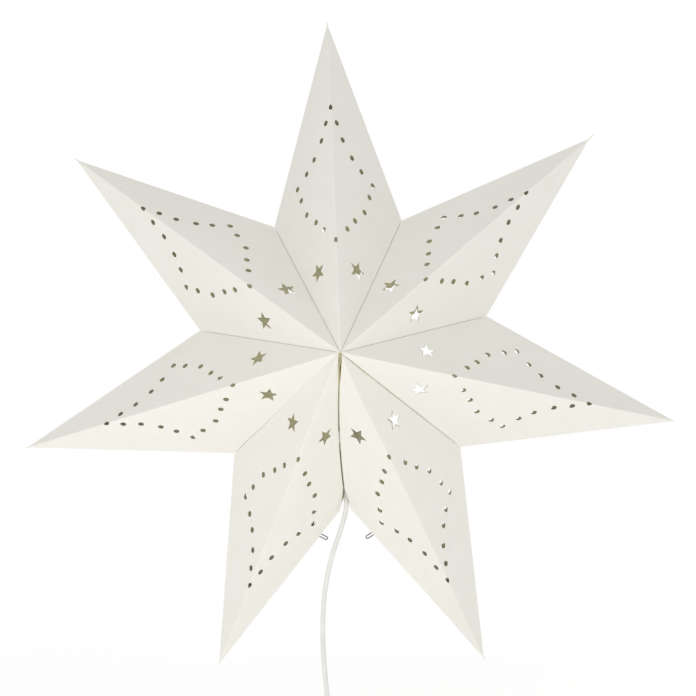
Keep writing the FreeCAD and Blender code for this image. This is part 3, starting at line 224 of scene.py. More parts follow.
def card_tree():
    """Geometry Nodes: edges become the card's outline, and marked points its holes."""
    tree = bpy.data.node_groups.new("punched_card", "GeometryNodeTree")
    face = tree.interface
    face.new_socket("Geometry", in_out="INPUT", socket_type="NodeSocketGeometry")
    for name, value in (("Hole Radius", HOLE_RADIUS), ("Star Radius", STAR_CUT_RADIUS),
                        ("Star Waist", STAR_CUT_WAIST)):
        face.new_socket(name, in_out="INPUT", socket_type="NodeSocketFloat").default_value = value
    face.new_socket("Card", in_out="INPUT", socket_type="NodeSocketMaterial")
    face.new_socket("Geometry", in_out="OUTPUT", socket_type="NodeSocketGeometry")
    given = wired(tree, "NodeGroupInput").outputs
    kind = wired(tree, "GeometryNodeInputNamedAttribute", {"Name": "kind"}, data_type="INT")
    turn = wired(tree, "GeometryNodeInputNamedAttribute", {"Name": "turn"},
                 data_type="FLOAT_VECTOR")
    parts = []
    for value in (OUTLINE_POINT, HOLE_POINT, STAR_POINT):
        chosen = wired(tree, "FunctionNodeCompare", {2: kind.outputs["Attribute"], 3: value},
                       data_type="INT", operation="EQUAL").outputs["Result"]
        split = wired(tree, "GeometryNodeSeparateGeometry",
                      {"Geometry": given["Geometry"], "Selection": chosen})
        parts.append(split.outputs["Selection"])
    outline = wired(tree, "GeometryNodeMeshToCurve", {"Mesh": parts[OUTLINE_POINT]})
    hole = wired(tree, "GeometryNodeCurvePrimitiveCircle",
                 {"Resolution": 18, "Radius": given["Hole Radius"]})
    star = wired(tree, "GeometryNodeCurveStar", {"Points": 5, "Inner Radius": given["Star Waist"],
                                                 "Outer Radius": given["Star Radius"]})
    lines = wired(tree, "GeometryNodeJoinGeometry")
    for points, shape in ((parts[HOLE_POINT], hole), (parts[STAR_POINT], star)):
        placed = wired(tree, "GeometryNodeInstanceOnPoints",
                       {"Points": points, "Instance": shape.outputs["Curve"],
                        "Rotation": turn.outputs["Attribute"]})
        real = wired(tree, "GeometryNodeRealizeInstances",
                     {"Geometry": placed.outputs["Instances"]})
        tree.links.new(real.outputs["Geometry"], lines.inputs["Geometry"])
    tree.links.new(outline.outputs["Curve"], lines.inputs["Geometry"])
    fill = wired(tree, "GeometryNodeFillCurve", {"Curve": lines.outputs["Geometry"]})
    real = wired(tree, "GeometryNodeRealizeInstances", {"Geometry": fill.outputs["Mesh"]})
    finish = wired(tree, "GeometryNodeSetMaterial",
                   {"Geometry": real.outputs["Geometry"], "Material": given["Card"]})
    wired(tree, "NodeGroupOutput", {"Geometry": finish.outputs["Geometry"]})
    return tree


def socket_id(tree, name):
    return next(item.identifier for item in tree.interface.items_tree
                if item.name == name and item.in_out == "INPUT")


def punched_flat(tree, index, face, right, left, material):
    """The flat punched card of one face of a point, as a mesh."""
    corners = [(0.0, 0.0)] + right.outline() + [(u, -v) for u, v in reversed(left.outline())]
    holes = []
    for along, off in PUNCHES:
        holes += [(along, off, 0.0)] if off == 0 else [(along, off, 0.0), (along, -off, 0.0)]
    lean = math.atan2(STAR_CUT[1], STAR_CUT[0])
    stars = []
    for side, panel in ((1, right), (-1, left)):
        move = BACK_CUT_SHIFTS.get((index, side), (0, 0)) if face == BACK else (0, 0)
        along, off = panel.flat_shift(*move)
        stars.append((STAR_CUT[0] + along, side * (STAR_CUT[1] + off), side * lean))
    places = [(u, v, 0) for u, v in corners] + [(u, v, 0) for u, v, _ in holes + stars]
    count = len(corners)
    mesh = bpy.data.meshes.new("flat_card")
    mesh.from_pydata(places, [(i, (i + 1) % count) for i in range(count)], [])
    kinds = [OUTLINE_POINT] * count + [HOLE_POINT] * len(holes) + [STAR_POINT] * len(stars)
    mesh.attributes.new("kind", "INT", "POINT").data.foreach_set("value", kinds)
    turns = [(0, 0, 0)] * count + [(0, 0, turn) for _, _, turn in holes + stars]
    flat = [number for place in turns for number in place]
    mesh.attributes.new("turn", "FLOAT_VECTOR", "POINT").data.foreach_set("vector", flat)
    card = new_object("flat_card", mesh)
    modifier = card.modifiers.new("punched_card", "NODES")
    modifier.node_group = tree
    modifier[socket_id(tree, "Card")] = material
    evaluated = card.evaluated_get(bpy.context.evaluated_depsgraph_get())
    punched = bpy.data.meshes.new_from_object(evaluated)
    bpy.data.objects.remove(card)
    return punched


def score(work, place, normal):
    """Divide the flat card along a straight line."""
    bmesh.ops.bisect_plane(work, geom=work.verts[:] + work.edges[:] + work.faces[:], dist=1e-7,
                           plane_co=Vector((place[0], place[1], 0)),
                           plane_no=Vector((normal[0], normal[1], 0)))


def scored_card(punched, panels):
    """Lines along the folds, with closer rows beside them, and an even net across the panels."""
    work = bmesh.new()
    work.from_mesh(punched)
    bmesh.ops.remove_doubles(work, verts=work.verts, dist=1e-7)
    score(work, (0, 0), (0, 1))
    near, far = FOLD_ROWS
    for side, panel in panels:
        way = Vector((panel.notch_along, side * panel.notch_off)).normalized()
        beyond = Vector((-way.y, way.x)) * side
        for off in (-far, -near, 0.0, near):
            score(work, beyond * off, beyond)
        for off in FOLD_ROWS:
            score(work, (0, side * off), (0, 1))
        if panel.at_seam:
            for step in range(-4, 5):
                score(work, (panel.slit_along + SLIT_HALF_LENGTH * step / 4, 0), (1, 0))
    for off in np.arange(-NET_HALF_WIDTH, NET_HALF_WIDTH + NET_STEP / 2, NET_STEP):
        score(work, (0, off), (0, 1))
    for along in np.arange(NET_STEP, panels[0][1].ridge_length, NET_STEP):
        score(work, (along, 0), (1, 0))
    bmesh.ops.remove_doubles(work, verts=work.verts, dist=2e-6)
    bmesh.ops.dissolve_degenerate(work, edges=work.edges, dist=2e-6)
    return work


# ---------------- folding

SEAM_FLARE = 0.0045            # open width at the centre, narrowing over the flare's length
SEAM_GAP = 0.0016
SEAM_FLARE_LENGTH = 0.032
CORD_NOTCH_TOP = 0.016         # where the seam starts to widen round the cord
CORD_NOTCH_WIDTH = 0.0106
SEAM_BOW = {FRONT: 0.0042, BACK: -0.006}
SEAM_BOW_REACH = 0.03
PANEL_SWELL = 0.0016           # how far a panel's middle may bow in or out
HAIRPIN_PLACE = 0.043          # from the notch along the rim
SLIT_HALF_LENGTH = 0.007
SLIT_HALF_HEIGHT = 0.0013
VALLEY_GAP = 0.00003
VALLEY_SOFTNESS = 0.00008
VALLEY_REACH = 0.03            # cards further than this from a valley aren't held off it
TIP_PINCH = 0.00022            # half the gap between the two cards of a tip's tab
TIP_PINCH_START = 0.009
TIP_PINCH_LENGTH = 0.006


def seam_half_gap(radius):
    """Half the open width of the seam at a distance from the star's centre."""
    flare = SEAM_FLARE / 2 + (SEAM_GAP - SEAM_FLARE) / 2 * radius / SEAM_FLARE_LENGTH
    start = NOTCH_RADIUS - CORD_NOTCH_TOP
    end = NOTCH_RADIUS + CORD_NOTCH_WIDTH / 2
    widened = np.clip((radius - start) / (end - start), 0, 1)
    cord = SEAM_GAP / 2 + (CORD_NOTCH_WIDTH - SEAM_GAP) / 2 * widened
    return np.maximum(np.maximum(flare, SEAM_GAP / 2), cord)


def seam_shift(away_from_seam, radius, face):
    """How far both edges of the seam bow to the left."""
    share = np.clip(radius / NOTCH_RADIUS, 0, 1)
    reach = np.exp(-np.abs(away_from_seam) / SEAM_BOW_REACH)
    return SEAM_BOW[face] * np.sin(math.pi * share) * reach


def folded(flat, panels, swell):
    """Flat places of a card, bent at the ridge and the valleys, each panel a little swollen."""
    along, off = flat[:, 0:1], flat[:, 1:2]
    rounded_off = np.sqrt(off ** 2 + FOLD_RADIUS ** 2)
    shares = {1: (rounded_off + off) / 2, -1: (rounded_off - off) / 2}
    first = panels[0][1]
    places = np.array(first.apex) + along * np.array(first.ridge)
    for side, panel in panels:
        places = places + shares[side] * np.array(panel.across)
    for side, panel in panels:
        way = np.array((panel.notch_along, panel.notch_off)) / panel.valley_length
        beyond = side * off * way[0] - along * way[1]
        turn_in = (np.array(panel.inward) + np.array(panel.to_ridge)) / 2
        places = places + turn_in * (beyond + np.sqrt(beyond ** 2 + VALLEY_FOLD_RADIUS ** 2))
        notch_share = np.clip(side * off / panel.notch_off, 0, 1)
        tip_share = np.clip((along - notch_share * panel.notch_along) / panel.ridge_length, 0, 1)
        centre_share = np.clip(1 - notch_share - tip_share, 0, 1)
        # Each share is a third in the panel's middle, so 27 makes their product 1 there.
        push = 27 * notch_share * tip_share * centre_share
        places = places + push * swell[side] * np.array(panel.outward)
    return places


def parted(places, panels, face):
    """Keeps a card on its own side of its valleys, and opens and bows the seam."""
    for _, panel in panels:
        away = np.array(panel.away)
        from_valley = (places - np.array(CENTRE)) @ away
        radius = np.linalg.norm((places - np.array(CENTRE))[:, [0, 2]], axis=1)
        gap = seam_half_gap(radius) if panel.at_seam else np.full_like(radius, VALLEY_GAP)
        held = soft_max(from_valley, gap, VALLEY_SOFTNESS)
        near = np.abs(from_valley) < VALLEY_REACH
        places = places + np.where(near, held - from_valley, 0)[:, None] * away
        if panel.at_seam:
            places[:, 0] -= seam_shift(from_valley, radius, face)
    return places


def settled(places, flat, index, panels, face):
    """Shifts the tip and the middle, opens the hairpins' slits and closes the tip's tab."""
    along, off = flat[:, 0], flat[:, 1]
    first = panels[0][1]
    toward_tip = np.clip((along - first.notch_along * np.abs(off) / first.notch_off)
                         / first.ridge_length, 0, 1)
    from_middle = np.clip(1 - toward_tip - np.abs(off) / first.notch_off, 0, 1)
    shift = np.outer(toward_tip, TIP_SHIFTS[index])
    if face == FRONT:
        shift += np.outer(from_middle, FRONT_MIDDLE_SHIFT)
    places[:, 0] += shift[:, 0]
    places[:, 2] += shift[:, 1]
    for side, panel in panels:
        if panel.at_seam:
            from_rim = 1 - toward_tip - np.clip(side * off / panel.notch_off, 0, 1)
            from_slit = np.abs(along - panel.slit_along) / SLIT_HALF_LENGTH
            open_share = ease(1 - from_slit) * ease(1 - from_rim / 0.04)
            places[:, 1] += face * SLIT_HALF_HEIGHT * open_share
    pinch = TIP_PINCH * ease((along - first.ridge_length + TIP_PINCH_START) / TIP_PINCH_LENGTH)
    pinched = face * soft_max(face * places[:, 1], pinch, 0.0001)
    places[:, 1] = np.where(pinch > 0, pinched, places[:, 1])
    return places


def make_point(tree, index, outside, inside):
    """One folded sheet: its front and back cards joined along the rim, with their thickness."""
    name = POINTS[index][0]
    chance = random.Random(40 + index)
    whole = bmesh.new()
    for face in (FRONT, BACK):
        panels = [(side, Panel(index, side, face)) for side in (1, -1)]
        punched = punched_flat(tree, index, face, panels[0][1], panels[1][1], outside)
        work = scored_card(punched, panels)
        flat = np.array([vert.co for vert in work.verts])
        swell = {side: chance.uniform(-1, 1) * PANEL_SWELL for side in (1, -1)}
        places = parted(folded(flat, panels, swell), panels, face)
        places = settled(places, flat, index, panels, face)
        for vert, place in zip(work.verts, places):
            vert.co = place
        for piece in work.faces:
            piece.normal_update()
        bmesh.ops.recalc_face_normals(work, faces=work.faces)
        sample = max(work.faces, key=lambda piece: piece.calc_area())
        if sample.normal.y * face < 0:
            bmesh.ops.reverse_faces(work, faces=work.faces)
        mesh = bpy.data.meshes.new(name)
        work.to_mesh(mesh)
        work.free()
        whole.from_mesh(mesh)
        bpy.data.meshes.remove(mesh)
        bpy.data.meshes.remove(punched)
    bmesh.ops.remove_doubles(whole, verts=whole.verts, dist=0.00004)
    mesh = bpy.data.meshes.new(name + "_sheet")
    whole.to_mesh(mesh)
    whole.free()
    mesh.materials.append(outside)
    mesh.materials.append(inside)
    mesh.polygons.foreach_set("material_index", [0] * len(mesh.polygons))
    sheet = new_object(name + "_sheet", mesh)
    wall = sheet.modifiers.new("card", "SOLIDIFY")
    wall.thickness = CARD
    wall.offset = -1
    # The inner face takes the inside material, whose colour is painted warm light.
    wall.material_offset = 1
    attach(sheet, "star")
    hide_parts(name)
    return sheet


# ---------------- materials

class Finish:
    """A Principled material with helpers for its patterns."""

    def __init__(self, name, color, roughness, **settings):
        self.material = bpy.data.materials.new(name)
        self.material.use_nodes = True
        self.tree = self.material.node_tree
        self.shader = self.tree.nodes["Principled BSDF"]
        self.shader.inputs["Base Color"].default_value = (*color, 1)
        self.shader.inputs["Roughness"].default_value = roughness
        for key, value in settings.items():
            self.shader.inputs[key.replace("_", " ")].default_value = value
        self.place = wired(self.tree, "ShaderNodeTexCoord").outputs["Object"]
        self.color = color

    def noise(self, scale, detail=3.0, stretch=None):
        source = self.place
        if stretch:
            source = wired(self.tree, "ShaderNodeMapping",
                           {"Vector": source, "Scale": stretch}).outputs["Vector"]
        return wired(self.tree, "ShaderNodeTexNoise",
                     {"Vector": source, "Scale": scale, "Detail": detail}).outputs["Fac"]

    def ranged(self, value, low, high):
        """A pattern's value moved from 0.3..0.7 to the given range."""
        limits = {"From Min": 0.3, "From Max": 0.7, "To Min": low, "To Max": high}
        return wired(self.tree, "ShaderNodeMapRange", {"Value": value, **limits}).outputs["Result"]

    def tinted(self, value, other):
        """Base colour that moves with a pattern between this finish's colour and another."""
        sockets = {"Factor": self.ranged(value, 0, 1), "A": (*self.color, 1), "B": (*other, 1)}
        mix = wired(self.tree, "ShaderNodeMix", sockets, data_type="RGBA")
        self.tree.links.new(mix.outputs["Result"], self.shader.inputs["Base Color"])

    def rough(self, value, low, high):
        self.tree.links.new(self.ranged(value, low, high), self.shader.inputs["Roughness"])

    def bumped(self, heights):
        """Bumps from several patterns, each with its depth in metres."""
        below = {}
        for value, depth in heights:
            bump = wired(self.tree, "ShaderNodeBump",
                         {"Strength": 1.0, "Distance": depth, "Height": value, **below})
            below = {"Normal": bump.outputs["Normal"]}
        self.tree.links.new(below["Normal"], self.shader.inputs["Normal"])


def card_finish(name, color, other):
    card = Finish(name, color, 0.8, Specular_IOR_Level=0.25)
    fibre = card.noise(1400, 4)
    card.tinted(card.noise(38, 4), other)
    card.rough(fibre, 0.74, 0.9)
    card.bumped([(card.noise(26, 2), 0.0005), (fibre, 0.00004)])
    return card.material


def plastic_finish(name, color, other, roughness=0.38, grain=0.00002):
    plastic = Finish(name, color, roughness, Specular_IOR_Level=0.45)
    plastic.tinted(plastic.noise(55, 2), other)
    plastic.rough(plastic.noise(300, 3), roughness - 0.07, roughness + 0.09)
    plastic.bumped([(plastic.noise(2600, 2), grain)])
    return plastic.material


def metal_finish(name, color, other, roughness, streak=(1, 1, 1)):
    metal = Finish(name, color, roughness, Metallic=1.0)
    metal.tinted(metal.noise(180, 4, streak), other)
    metal.rough(metal.noise(420, 4, streak), roughness - 0.08, roughness + 0.12)
    metal.bumped([(metal.noise(1500, 3, streak), 0.00001)])
    return metal.material


def cord_finish():
    """Smooth round sheath with a faint lengthwise unevenness."""
    sheath = Finish("cord_sheath", (0.80, 0.795, 0.775), 0.42, Specular_IOR_Level=0.4)
    sheath.tinted(sheath.noise(60, 3), (0.74, 0.735, 0.715))
    sheath.rough(sheath.noise(500, 3), 0.36, 0.52)
    sheath.bumped([(sheath.noise(160, 3), 0.00008)])
    return sheath.material


def glass_finish(name, color, roughness, transmission):
    glass = Finish(name, color, roughness, IOR=1.48, Transmission_Weight=transmission)
    glass.rough(glass.noise(90, 2), roughness, roughness + 0.03)
    return glass.material


# ---------------- camera, light and floor

CAMERA_DISTANCE = 2.3
SENSOR = 36                    # millimetres
PICTURE = 696                  # pixels across the square picture
PIXELS_PER_METRE = 948.2       # in the star's middle plane
STAR_MIDDLE = (344.5, 356.0)   # where the star's centre lies in the picture
ROLL, NOD, SWING = 2.82, -0.75, -2.04
SOFT_LIGHT = 0.745             # the white surroundings' light on the object
FLOOR_LEVEL = -0.7455          # just under the cord


def make_camera():
    data = bpy.data.cameras.new("camera")
    data.sensor_width = SENSOR
    data.lens = PIXELS_PER_METRE * CAMERA_DISTANCE / PICTURE * SENSOR
    data.shift_x = (PICTURE / 2 - STAR_MIDDLE[0]) / PICTURE
    data.shift_y = (STAR_MIDDLE[1] - PICTURE / 2) / PICTURE
    data.clip_start = 0.05
    data.clip_end = 60
    camera = new_object("camera", data)
    turn = turned(ROLL, "Z") @ turned(NOD, "X") @ turned(SWING, "Y")
    upright = Matrix(((1, 0, 0, 0), (0, 0, -1, 0), (0, 1, 0, 0), (0, 0, 0, 1)))
    camera.matrix_world = (Matrix.Translation(CENTRE) @ upright @ turn.inverted()
                           @ moved(0, 0, CAMERA_DISTANCE))
    bpy.context.scene.camera = camera


def make_world():
    """White behind everything; a plain soft light on the object."""
    world = bpy.data.worlds.new("studio")
    bpy.context.scene.world = world
    world.use_nodes = True
    tree = world.node_tree
    tree.nodes.clear()
    rays = wired(tree, "ShaderNodeLightPath").outputs
    seen = rays["Is Camera Ray"]
    for other in ("Is Glossy Ray", "Is Transmission Ray"):
        either = wired(tree, "ShaderNodeMath", {0: seen, 1: rays[other]}, operation="MAXIMUM")
        seen = either.outputs[0]
    strength = wired(tree, "ShaderNodeMapRange",
                     {"Value": seen, "To Min": SOFT_LIGHT, "To Max": 1.0})
    background = wired(tree, "ShaderNodeBackground",
                       {"Color": (1, 1, 1, 1), "Strength": strength.outputs["Result"]})
    wired(tree, "ShaderNodeOutputWorld", {"Surface": background.outputs[0]})


def area_lamp(name, place, aim, size, power):
    data = bpy.data.lights.new(name, "AREA")
    data.shape = "DISK"
    data.size = size
    data.energy = power
    lamp = new_object(name, data)
    lamp.visible_camera = False
    turn = (Vector(aim) - Vector(place)).to_track_quat("-Z", "Y")
    lamp.matrix_world = Matrix.Translation(place) @ turn.to_matrix().to_4x4()


def inner_light(name, y):
    """Daylight that the card lets through into the hollow star."""
    data = bpy.data.lights.new(name, "POINT")
    data.energy = 0.062
    data.shadow_soft_size = 0.03
    data.color = (1.0, 0.97, 0.72)
    lamp = new_object(name, data)
    lamp.visible_camera = lamp.visible_glossy = lamp.visible_transmission = False
    lamp.location = (0.0, y, -0.355)


def make_lights():
    area_lamp("low_front_lamp", (-0.18, -0.9, -0.735), (-0.05, 0, -0.5), 0.9, 3.3)
    area_lamp("high_front_lamp", (0.6, -2.6, 1.2), (0, 0, -0.35), 2.0, 5)
    area_lamp("back_lamp", (0.4, 2.4, 0.6), (0, 0, -0.35), 2.0, 7)
    inner_light("through_light_2", -0.07)
    inner_light("through_light_1", 0.07)


def make_floor(material):
    """Round pale floor that the slack cord lies on."""
    work = bmesh.new()
    bmesh.ops.create_circle(work, cap_ends=True, segments=96, radius=1.6)
    mesh = bpy.data.meshes.new("floor")
    work.to_mesh(mesh)
    work.free()
    mesh.transform(moved(0, 0, FLOOR_LEVEL))
    mesh.materials.append(material)
    new_object("floor", mesh)


def floor_finish():
    """Pale enough to look white, with the object's shadow left in it; clear from below."""
    floor = Finish("pale_floor", (0.9, 0.9, 0.9), 0.9, Specular_IOR_Level=0.1)
    floor.tinted(floor.noise(3, 2), (0.88, 0.88, 0.88))
    floor.shader.inputs["Emission Color"].default_value = (1, 1, 1, 1)
    floor.shader.inputs["Emission Strength"].default_value = 0.25
    clear = wired(floor.tree, "ShaderNodeBsdfTransparent").outputs[0]
    behind = wired(floor.tree, "ShaderNodeNewGeometry").outputs["Backfacing"]
    choice = wired(floor.tree, "ShaderNodeMixShader",
                   {0: behind, 1: floor.shader.outputs[0], 2: clear})
    floor.tree.links.new(choice.outputs[0], floor.tree.nodes["Material Output"].inputs["Surface"])
    return floor.material


# ---------------- cord

GROUND = -0.745
CORD_DIAMETER = 0.0052
SEAM_LEAN = math.radians(valley_turn(SEAM) - 180)
COIL_MIDDLE = (0.150, -0.095)
COIL_OUTER = 0.0356
COIL_PITCH = 0.0057
COIL_LAYERS = 4
COIL_LAYER_TURNS = 2.5
COIL_CLIMB_TURNS = 0.5
SWITCH_X, SWITCH_Y, SWITCH_LENGTH = 0.022, -0.142, 0.062
SWITCH_BASE = 0.009            # height of the switch's parting line
PLUG_X, PLUG_Y, PLUG_LENGTH, PLUG_HEIGHT = 0.0, 0.012, 0.034, 0.014
RELIEF_LENGTH = 0.014
TAIL_STRAIGHT = 0.008
TIE_LIFT = 0.0013              # the coil lies on its band


def down_seam(drop):
    """A place on the lamp's axis, below the star's centre."""
    return CENTRE + Vector((-math.sin(SEAM_LEAN), 0, -math.cos(SEAM_LEAN))) * drop


def lead_points():
    """From the cord grip through the notch, down in a slow bow and along the floor."""
    hanging = [(-0.0052, 0, 0.160), (-0.0130, 0, 0.183), (-0.0245, -0.001, 0.211),
               (-0.0340, -0.003, 0.249), (-0.0380, -0.005, 0.298), (-0.0360, -0.009, 0.346),
               (-0.0340, -0.015, 0.372)]
    lying = [(-0.0320, -0.033, 0.0034), (-0.0310, -0.058, 0), (-0.0300, -0.077, 0),
             (-0.0270, -0.099, 0.0006), (-0.0210, -0.119, 0.0022), (-0.0110, -0.134, 0.0046)]
    places = [down_seam(0.130), down_seam(0.144)]
    places += [CENTRE + Vector((x, y, -drop)) for x, y, drop in hanging]
    places += [Vector((x, y, GROUND + CORD_DIAMETER / 2 + lift)) for x, y, lift in lying]
    entry = switch_end(-1)
    return places + [entry - Vector((0.0165, 0, 0)), entry]


def switch_end(side):
    x = SWITCH_X + (SWITCH_LENGTH if side > 0 else 0)
    return Vector((x, SWITCH_Y, GROUND + SWITCH_BASE))


def coil_level(layer):
    return GROUND + CORD_DIAMETER / 2 + TIE_LIFT + layer * COIL_PITCH


def coil_place(turns):
    """Place on the coil's line: it spirals in and out steadily and climbs where it reverses."""
    cycle = COIL_LAYER_TURNS + COIL_CLIMB_TURNS
    first = COIL_LAYER_TURNS + COIL_CLIMB_TURNS / 2
    passed = max(0, math.floor((turns - first) / cycle) + 1)
    inner = COIL_OUTER - first * COIL_PITCH
    since = turns if passed == 0 else turns - first - (passed - 1) * cycle
    if passed == 0:
        radius = COIL_OUTER - since * COIL_PITCH
    elif passed % 2:
        radius = inner + since * COIL_PITCH
    else:
        radius = inner + (cycle - since) * COIL_PITCH
    layer = min(COIL_LAYERS - 1, int(turns / cycle))
    climb = float(ease((turns - layer * cycle - COIL_LAYER_TURNS) / COIL_CLIMB_TURNS))
    angle = 2 * math.pi * turns - math.pi / 2
    x, y = COIL_MIDDLE
    return Vector((x + radius * math.cos(angle), y + radius * math.sin(angle),
                   coil_level(layer + climb)))


def flat_s_bend(start, end, steps=9):
    """Places along two equal arcs from start to end, both ends heading left."""
    aside = Vector((0, end.y - start.y, end.z - start.z))
    reach = start.x - end.x
    radius = (reach ** 2 + aside.length_squared) / (4 * aside.length)
    whole = 2 * math.atan2(aside.length, reach)
    places = []
    for step in range(steps + 1):
        angle = whole * step / steps
        places.append(Vector((-radius * math.sin(angle), 0, 0))
                      + aside.normalized() * radius * (1 - math.cos(angle)))
    return [start + place for place in places] + [end - place for place in places[-2::-1]]


def tail_points():
    """From the switch over the put-away coil to the plug's strain relief."""
    start = switch_end(1)
    whole = COIL_LAYERS * COIL_LAYER_TURNS + (COIL_LAYERS - 1) * COIL_CLIMB_TURNS
    steps = int(whole * 16)
    first, last = coil_place(0), coil_place(whole)
    straight = Vector((CORD_DIAMETER, 0, 0))
    places = [start, start + Vector((0.013, 0, 0)), start + Vector((0.029, 0.0048, -0.0026)),
              first - straight - Vector((0.0138, 0, 0)), first - straight]
    places += [coil_place(whole * i / steps) for i in range(steps + 1)]
    mouth = Vector((PLUG_X + PLUG_LENGTH + RELIEF_LENGTH, PLUG_Y, GROUND + PLUG_HEIGHT / 2))
    run = Vector((TAIL_STRAIGHT, 0, 0))
    bend = flat_s_bend(last - straight - run, mouth + run)
    return places + [last - straight] + bend + [mouth]


def cord_curve(name, places, material, *nodes):
    data = bpy.data.curves.new(name, "CURVE")
    data.dimensions = "3D"
    data.bevel_depth = CORD_DIAMETER / 2
    data.bevel_resolution = 4
    data.resolution_u = 6
    data.use_fill_caps = True
    spline = data.splines.new("NURBS")
    spline.points.add(len(places) - 1)
    for point, place in zip(spline.points, places):
        point.co = (*place, 1)
    spline.order_u = 3
    spline.use_endpoint_u = True
    data.materials.append(material)
    curve = new_object(name, data)
    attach(curve, "star")
    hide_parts(*nodes)
    return curve


# ---------------- turned and drawn pieces

# The pieces below are drawn in millimetres, round or along their own Z axis.
MM = 0.001
LAMP_UP = Matrix.Translation(CENTRE) @ Matrix.Rotation(SEAM_LEAN, 4, "Y")


def skinned(rings, loop=False):
    """A closed mesh through rings with equal numbers of places, in millimetres."""
    count = len(rings[0])
    rows = len(rings) if loop else len(rings) - 1
    faces = []
    for row in range(rows):
        here, there = row * count, (row + 1) % len(rings) * count
        for i in range(count):
            after = (i + 1) % count
            faces.append((here + i, here + after, there + after, there + i))
    if not loop:
        faces += [tuple(range(count)), tuple(range((len(rings) - 1) * count, len(rings) * count))]
    mesh = bpy.data.meshes.new("skin")
    mesh.from_pydata([Vector(place) * MM for ring in rings for place in ring], [], faces)
    return mesh


def joined(items):
    """One mesh from meshes, each with its placement and material number."""
    work = bmesh.new()
    for mesh, matrix, number in items:
        first = len(work.faces)
        mesh.transform(matrix)
        work.from_mesh(mesh)
        bpy.data.meshes.remove(mesh)
        work.faces.ensure_lookup_table()
        for face in work.faces[first:]:
            face.material_index = number
    bmesh.ops.remove_doubles(work, verts=work.verts, dist=1e-6)
    bmesh.ops.recalc_face_normals(work, faces=work.faces)
    mesh = bpy.data.meshes.new("piece")
    work.to_mesh(mesh)
    work.free()
    return mesh


def dress(node, items, materials, body="star"):
    """Puts a made piece in the place of a part's node."""
    mesh = joined(items)
    for material in materials:
        mesh.materials.append(material)
    mesh.shade_smooth()
    mesh.set_sharp_from_angle(angle=math.radians(38))
    piece = new_object(node + "_looks", mesh)
    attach(piece, body)
    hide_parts(node)
    return piece


def rounded(corners, radius):
    """A closed line through corners with each corner rounded off."""
    line = []
    for i, corner in enumerate(corners):
        here = Vector(corner)
        before = Vector(corners[i - 1]) - here
        after = Vector(corners[(i + 1) % len(corners)]) - here
        start = here + before.normalized() * min(radius, before.length * 0.45)
        end = here + after.normalized() * min(radius, after.length * 0.45)
        for share in (0, 0.25, 0.5, 0.75, 1):
            rest = 1 - share
            line.append(tuple(start * rest ** 2 + here * 2 * share * rest + end * share ** 2))
    return line


def stepped(line, longest):
    """The same closed line with no step longer than a limit."""
    places = []
    for i, start in enumerate(line):
        end = line[(i + 1) % len(line)]
        parts = max(1, math.ceil(math.dist(start, end) / longest))
        for part in range(parts):
            places.append(tuple(a + (b - a) * part / parts for a, b in zip(start, end)))
    return places


def lathed(profile, shape=None, segments=72):
    """A ring-shaped solid from a closed profile of radii and heights."""
    rings = []
    for radius, height in profile:
        ring = []
        for i in range(segments):
            angle = 2 * math.pi * i / segments
            reach = shape(angle, radius, height) if shape else radius
            ring.append((reach * math.cos(angle), reach * math.sin(angle), height))
        rings.append(ring)
    return skinned(rings, loop=True)


def circle(radius, level, count):
    """Places on a level circle round Z."""
    turns = [2 * math.pi * i / count for i in range(count)]
    return [(radius * math.cos(turn), radius * math.sin(turn), level) for turn in turns]


def rod(radius, low, high, edge=0.3, segments=24):
    """A round bar with softened ends, along Z."""
    outline = ((radius - edge, low), (radius, low + edge),
               (radius, high - edge), (radius - edge, high))
    return skinned([circle(reach, level, segments) for reach, level in outline])


def round_rectangle(length, width, radius, steps=7):
    """Corners of a rounded rectangle round the origin."""
    radius = min(radius, length / 2 - 0.01, width / 2 - 0.01)
    places = []
    for quarter, (sx, sy) in enumerate(((1, 1), (-1, 1), (-1, -1), (1, -1))):
        for step in range(steps):
            angle = math.pi / 2 * (quarter + step / (steps - 1))
            places.append((sx * (length / 2 - radius) + radius * math.cos(angle),
                           sy * (width / 2 - radius) + radius * math.sin(angle)))
    return places


def level_ring(length, width, radius, level, steps=7):
    return [(x, y, level) for x, y in round_rectangle(length, width, radius, steps)]


def carved(mesh, cutters):
    """Cuts other meshes out of a mesh."""
    base = new_object("carved", mesh)
    helpers = []
    for cutter in cutters:
        helper = new_object("cutter", cutter)
        helpers.append(helper)
        modifier = base.modifiers.new("cut", "BOOLEAN")
        modifier.operation = "DIFFERENCE"
        modifier.solver = "EXACT"
        modifier.object = helper
    evaluated = base.evaluated_get(bpy.context.evaluated_depsgraph_get())
    result = bpy.data.meshes.new_from_object(evaluated)
    for thing in [base] + helpers:
        bpy.data.objects.remove(thing)
    return result


def wave(angle, height, pitch):
    """Height of a rounded right-hand thread, 0 to 1."""
    return 0.5 - 0.5 * math.cos(2 * math.pi * (height / pitch - angle / (2 * math.pi)))


def screw_head(radius, height):
    """Low domed head with a cross recess, its underside at the origin."""
    outline = ((radius - 0.1, 0), (radius, 0.15), (radius, height * 0.5),
               (radius * 0.8, height * 0.9), (radius * 0.45, height))
    arms = []
    for length, width in ((radius * 1.25, 0.55), (0.55, radius * 1.25)):
        arms.append(skinned([level_ring(length, width, 0.1, level, 3)
                             for level in (height * 0.3, height + 1)]))
    return carved(skinned([circle(reach, level, 32) for reach, level in outline]), arms)


# ---------------- lamp holder and bulb

# Profiles are radii and heights, measured up the lamp's axis from the star's centre.
BULB_THREAD_PITCH = 2.82
SHELL_THREAD_PITCH = 2.6


def turned_piece(node, finish, corners, edge, step, shape, segments, body="star"):
    """A node of the lamp turned from its profile, with rounded edges and a longest step."""
    profile = stepped(rounded(corners, edge), step)
    dress(node, [(lathed(profile, shape, segments), LAMP_UP, 0)], [finish], body)


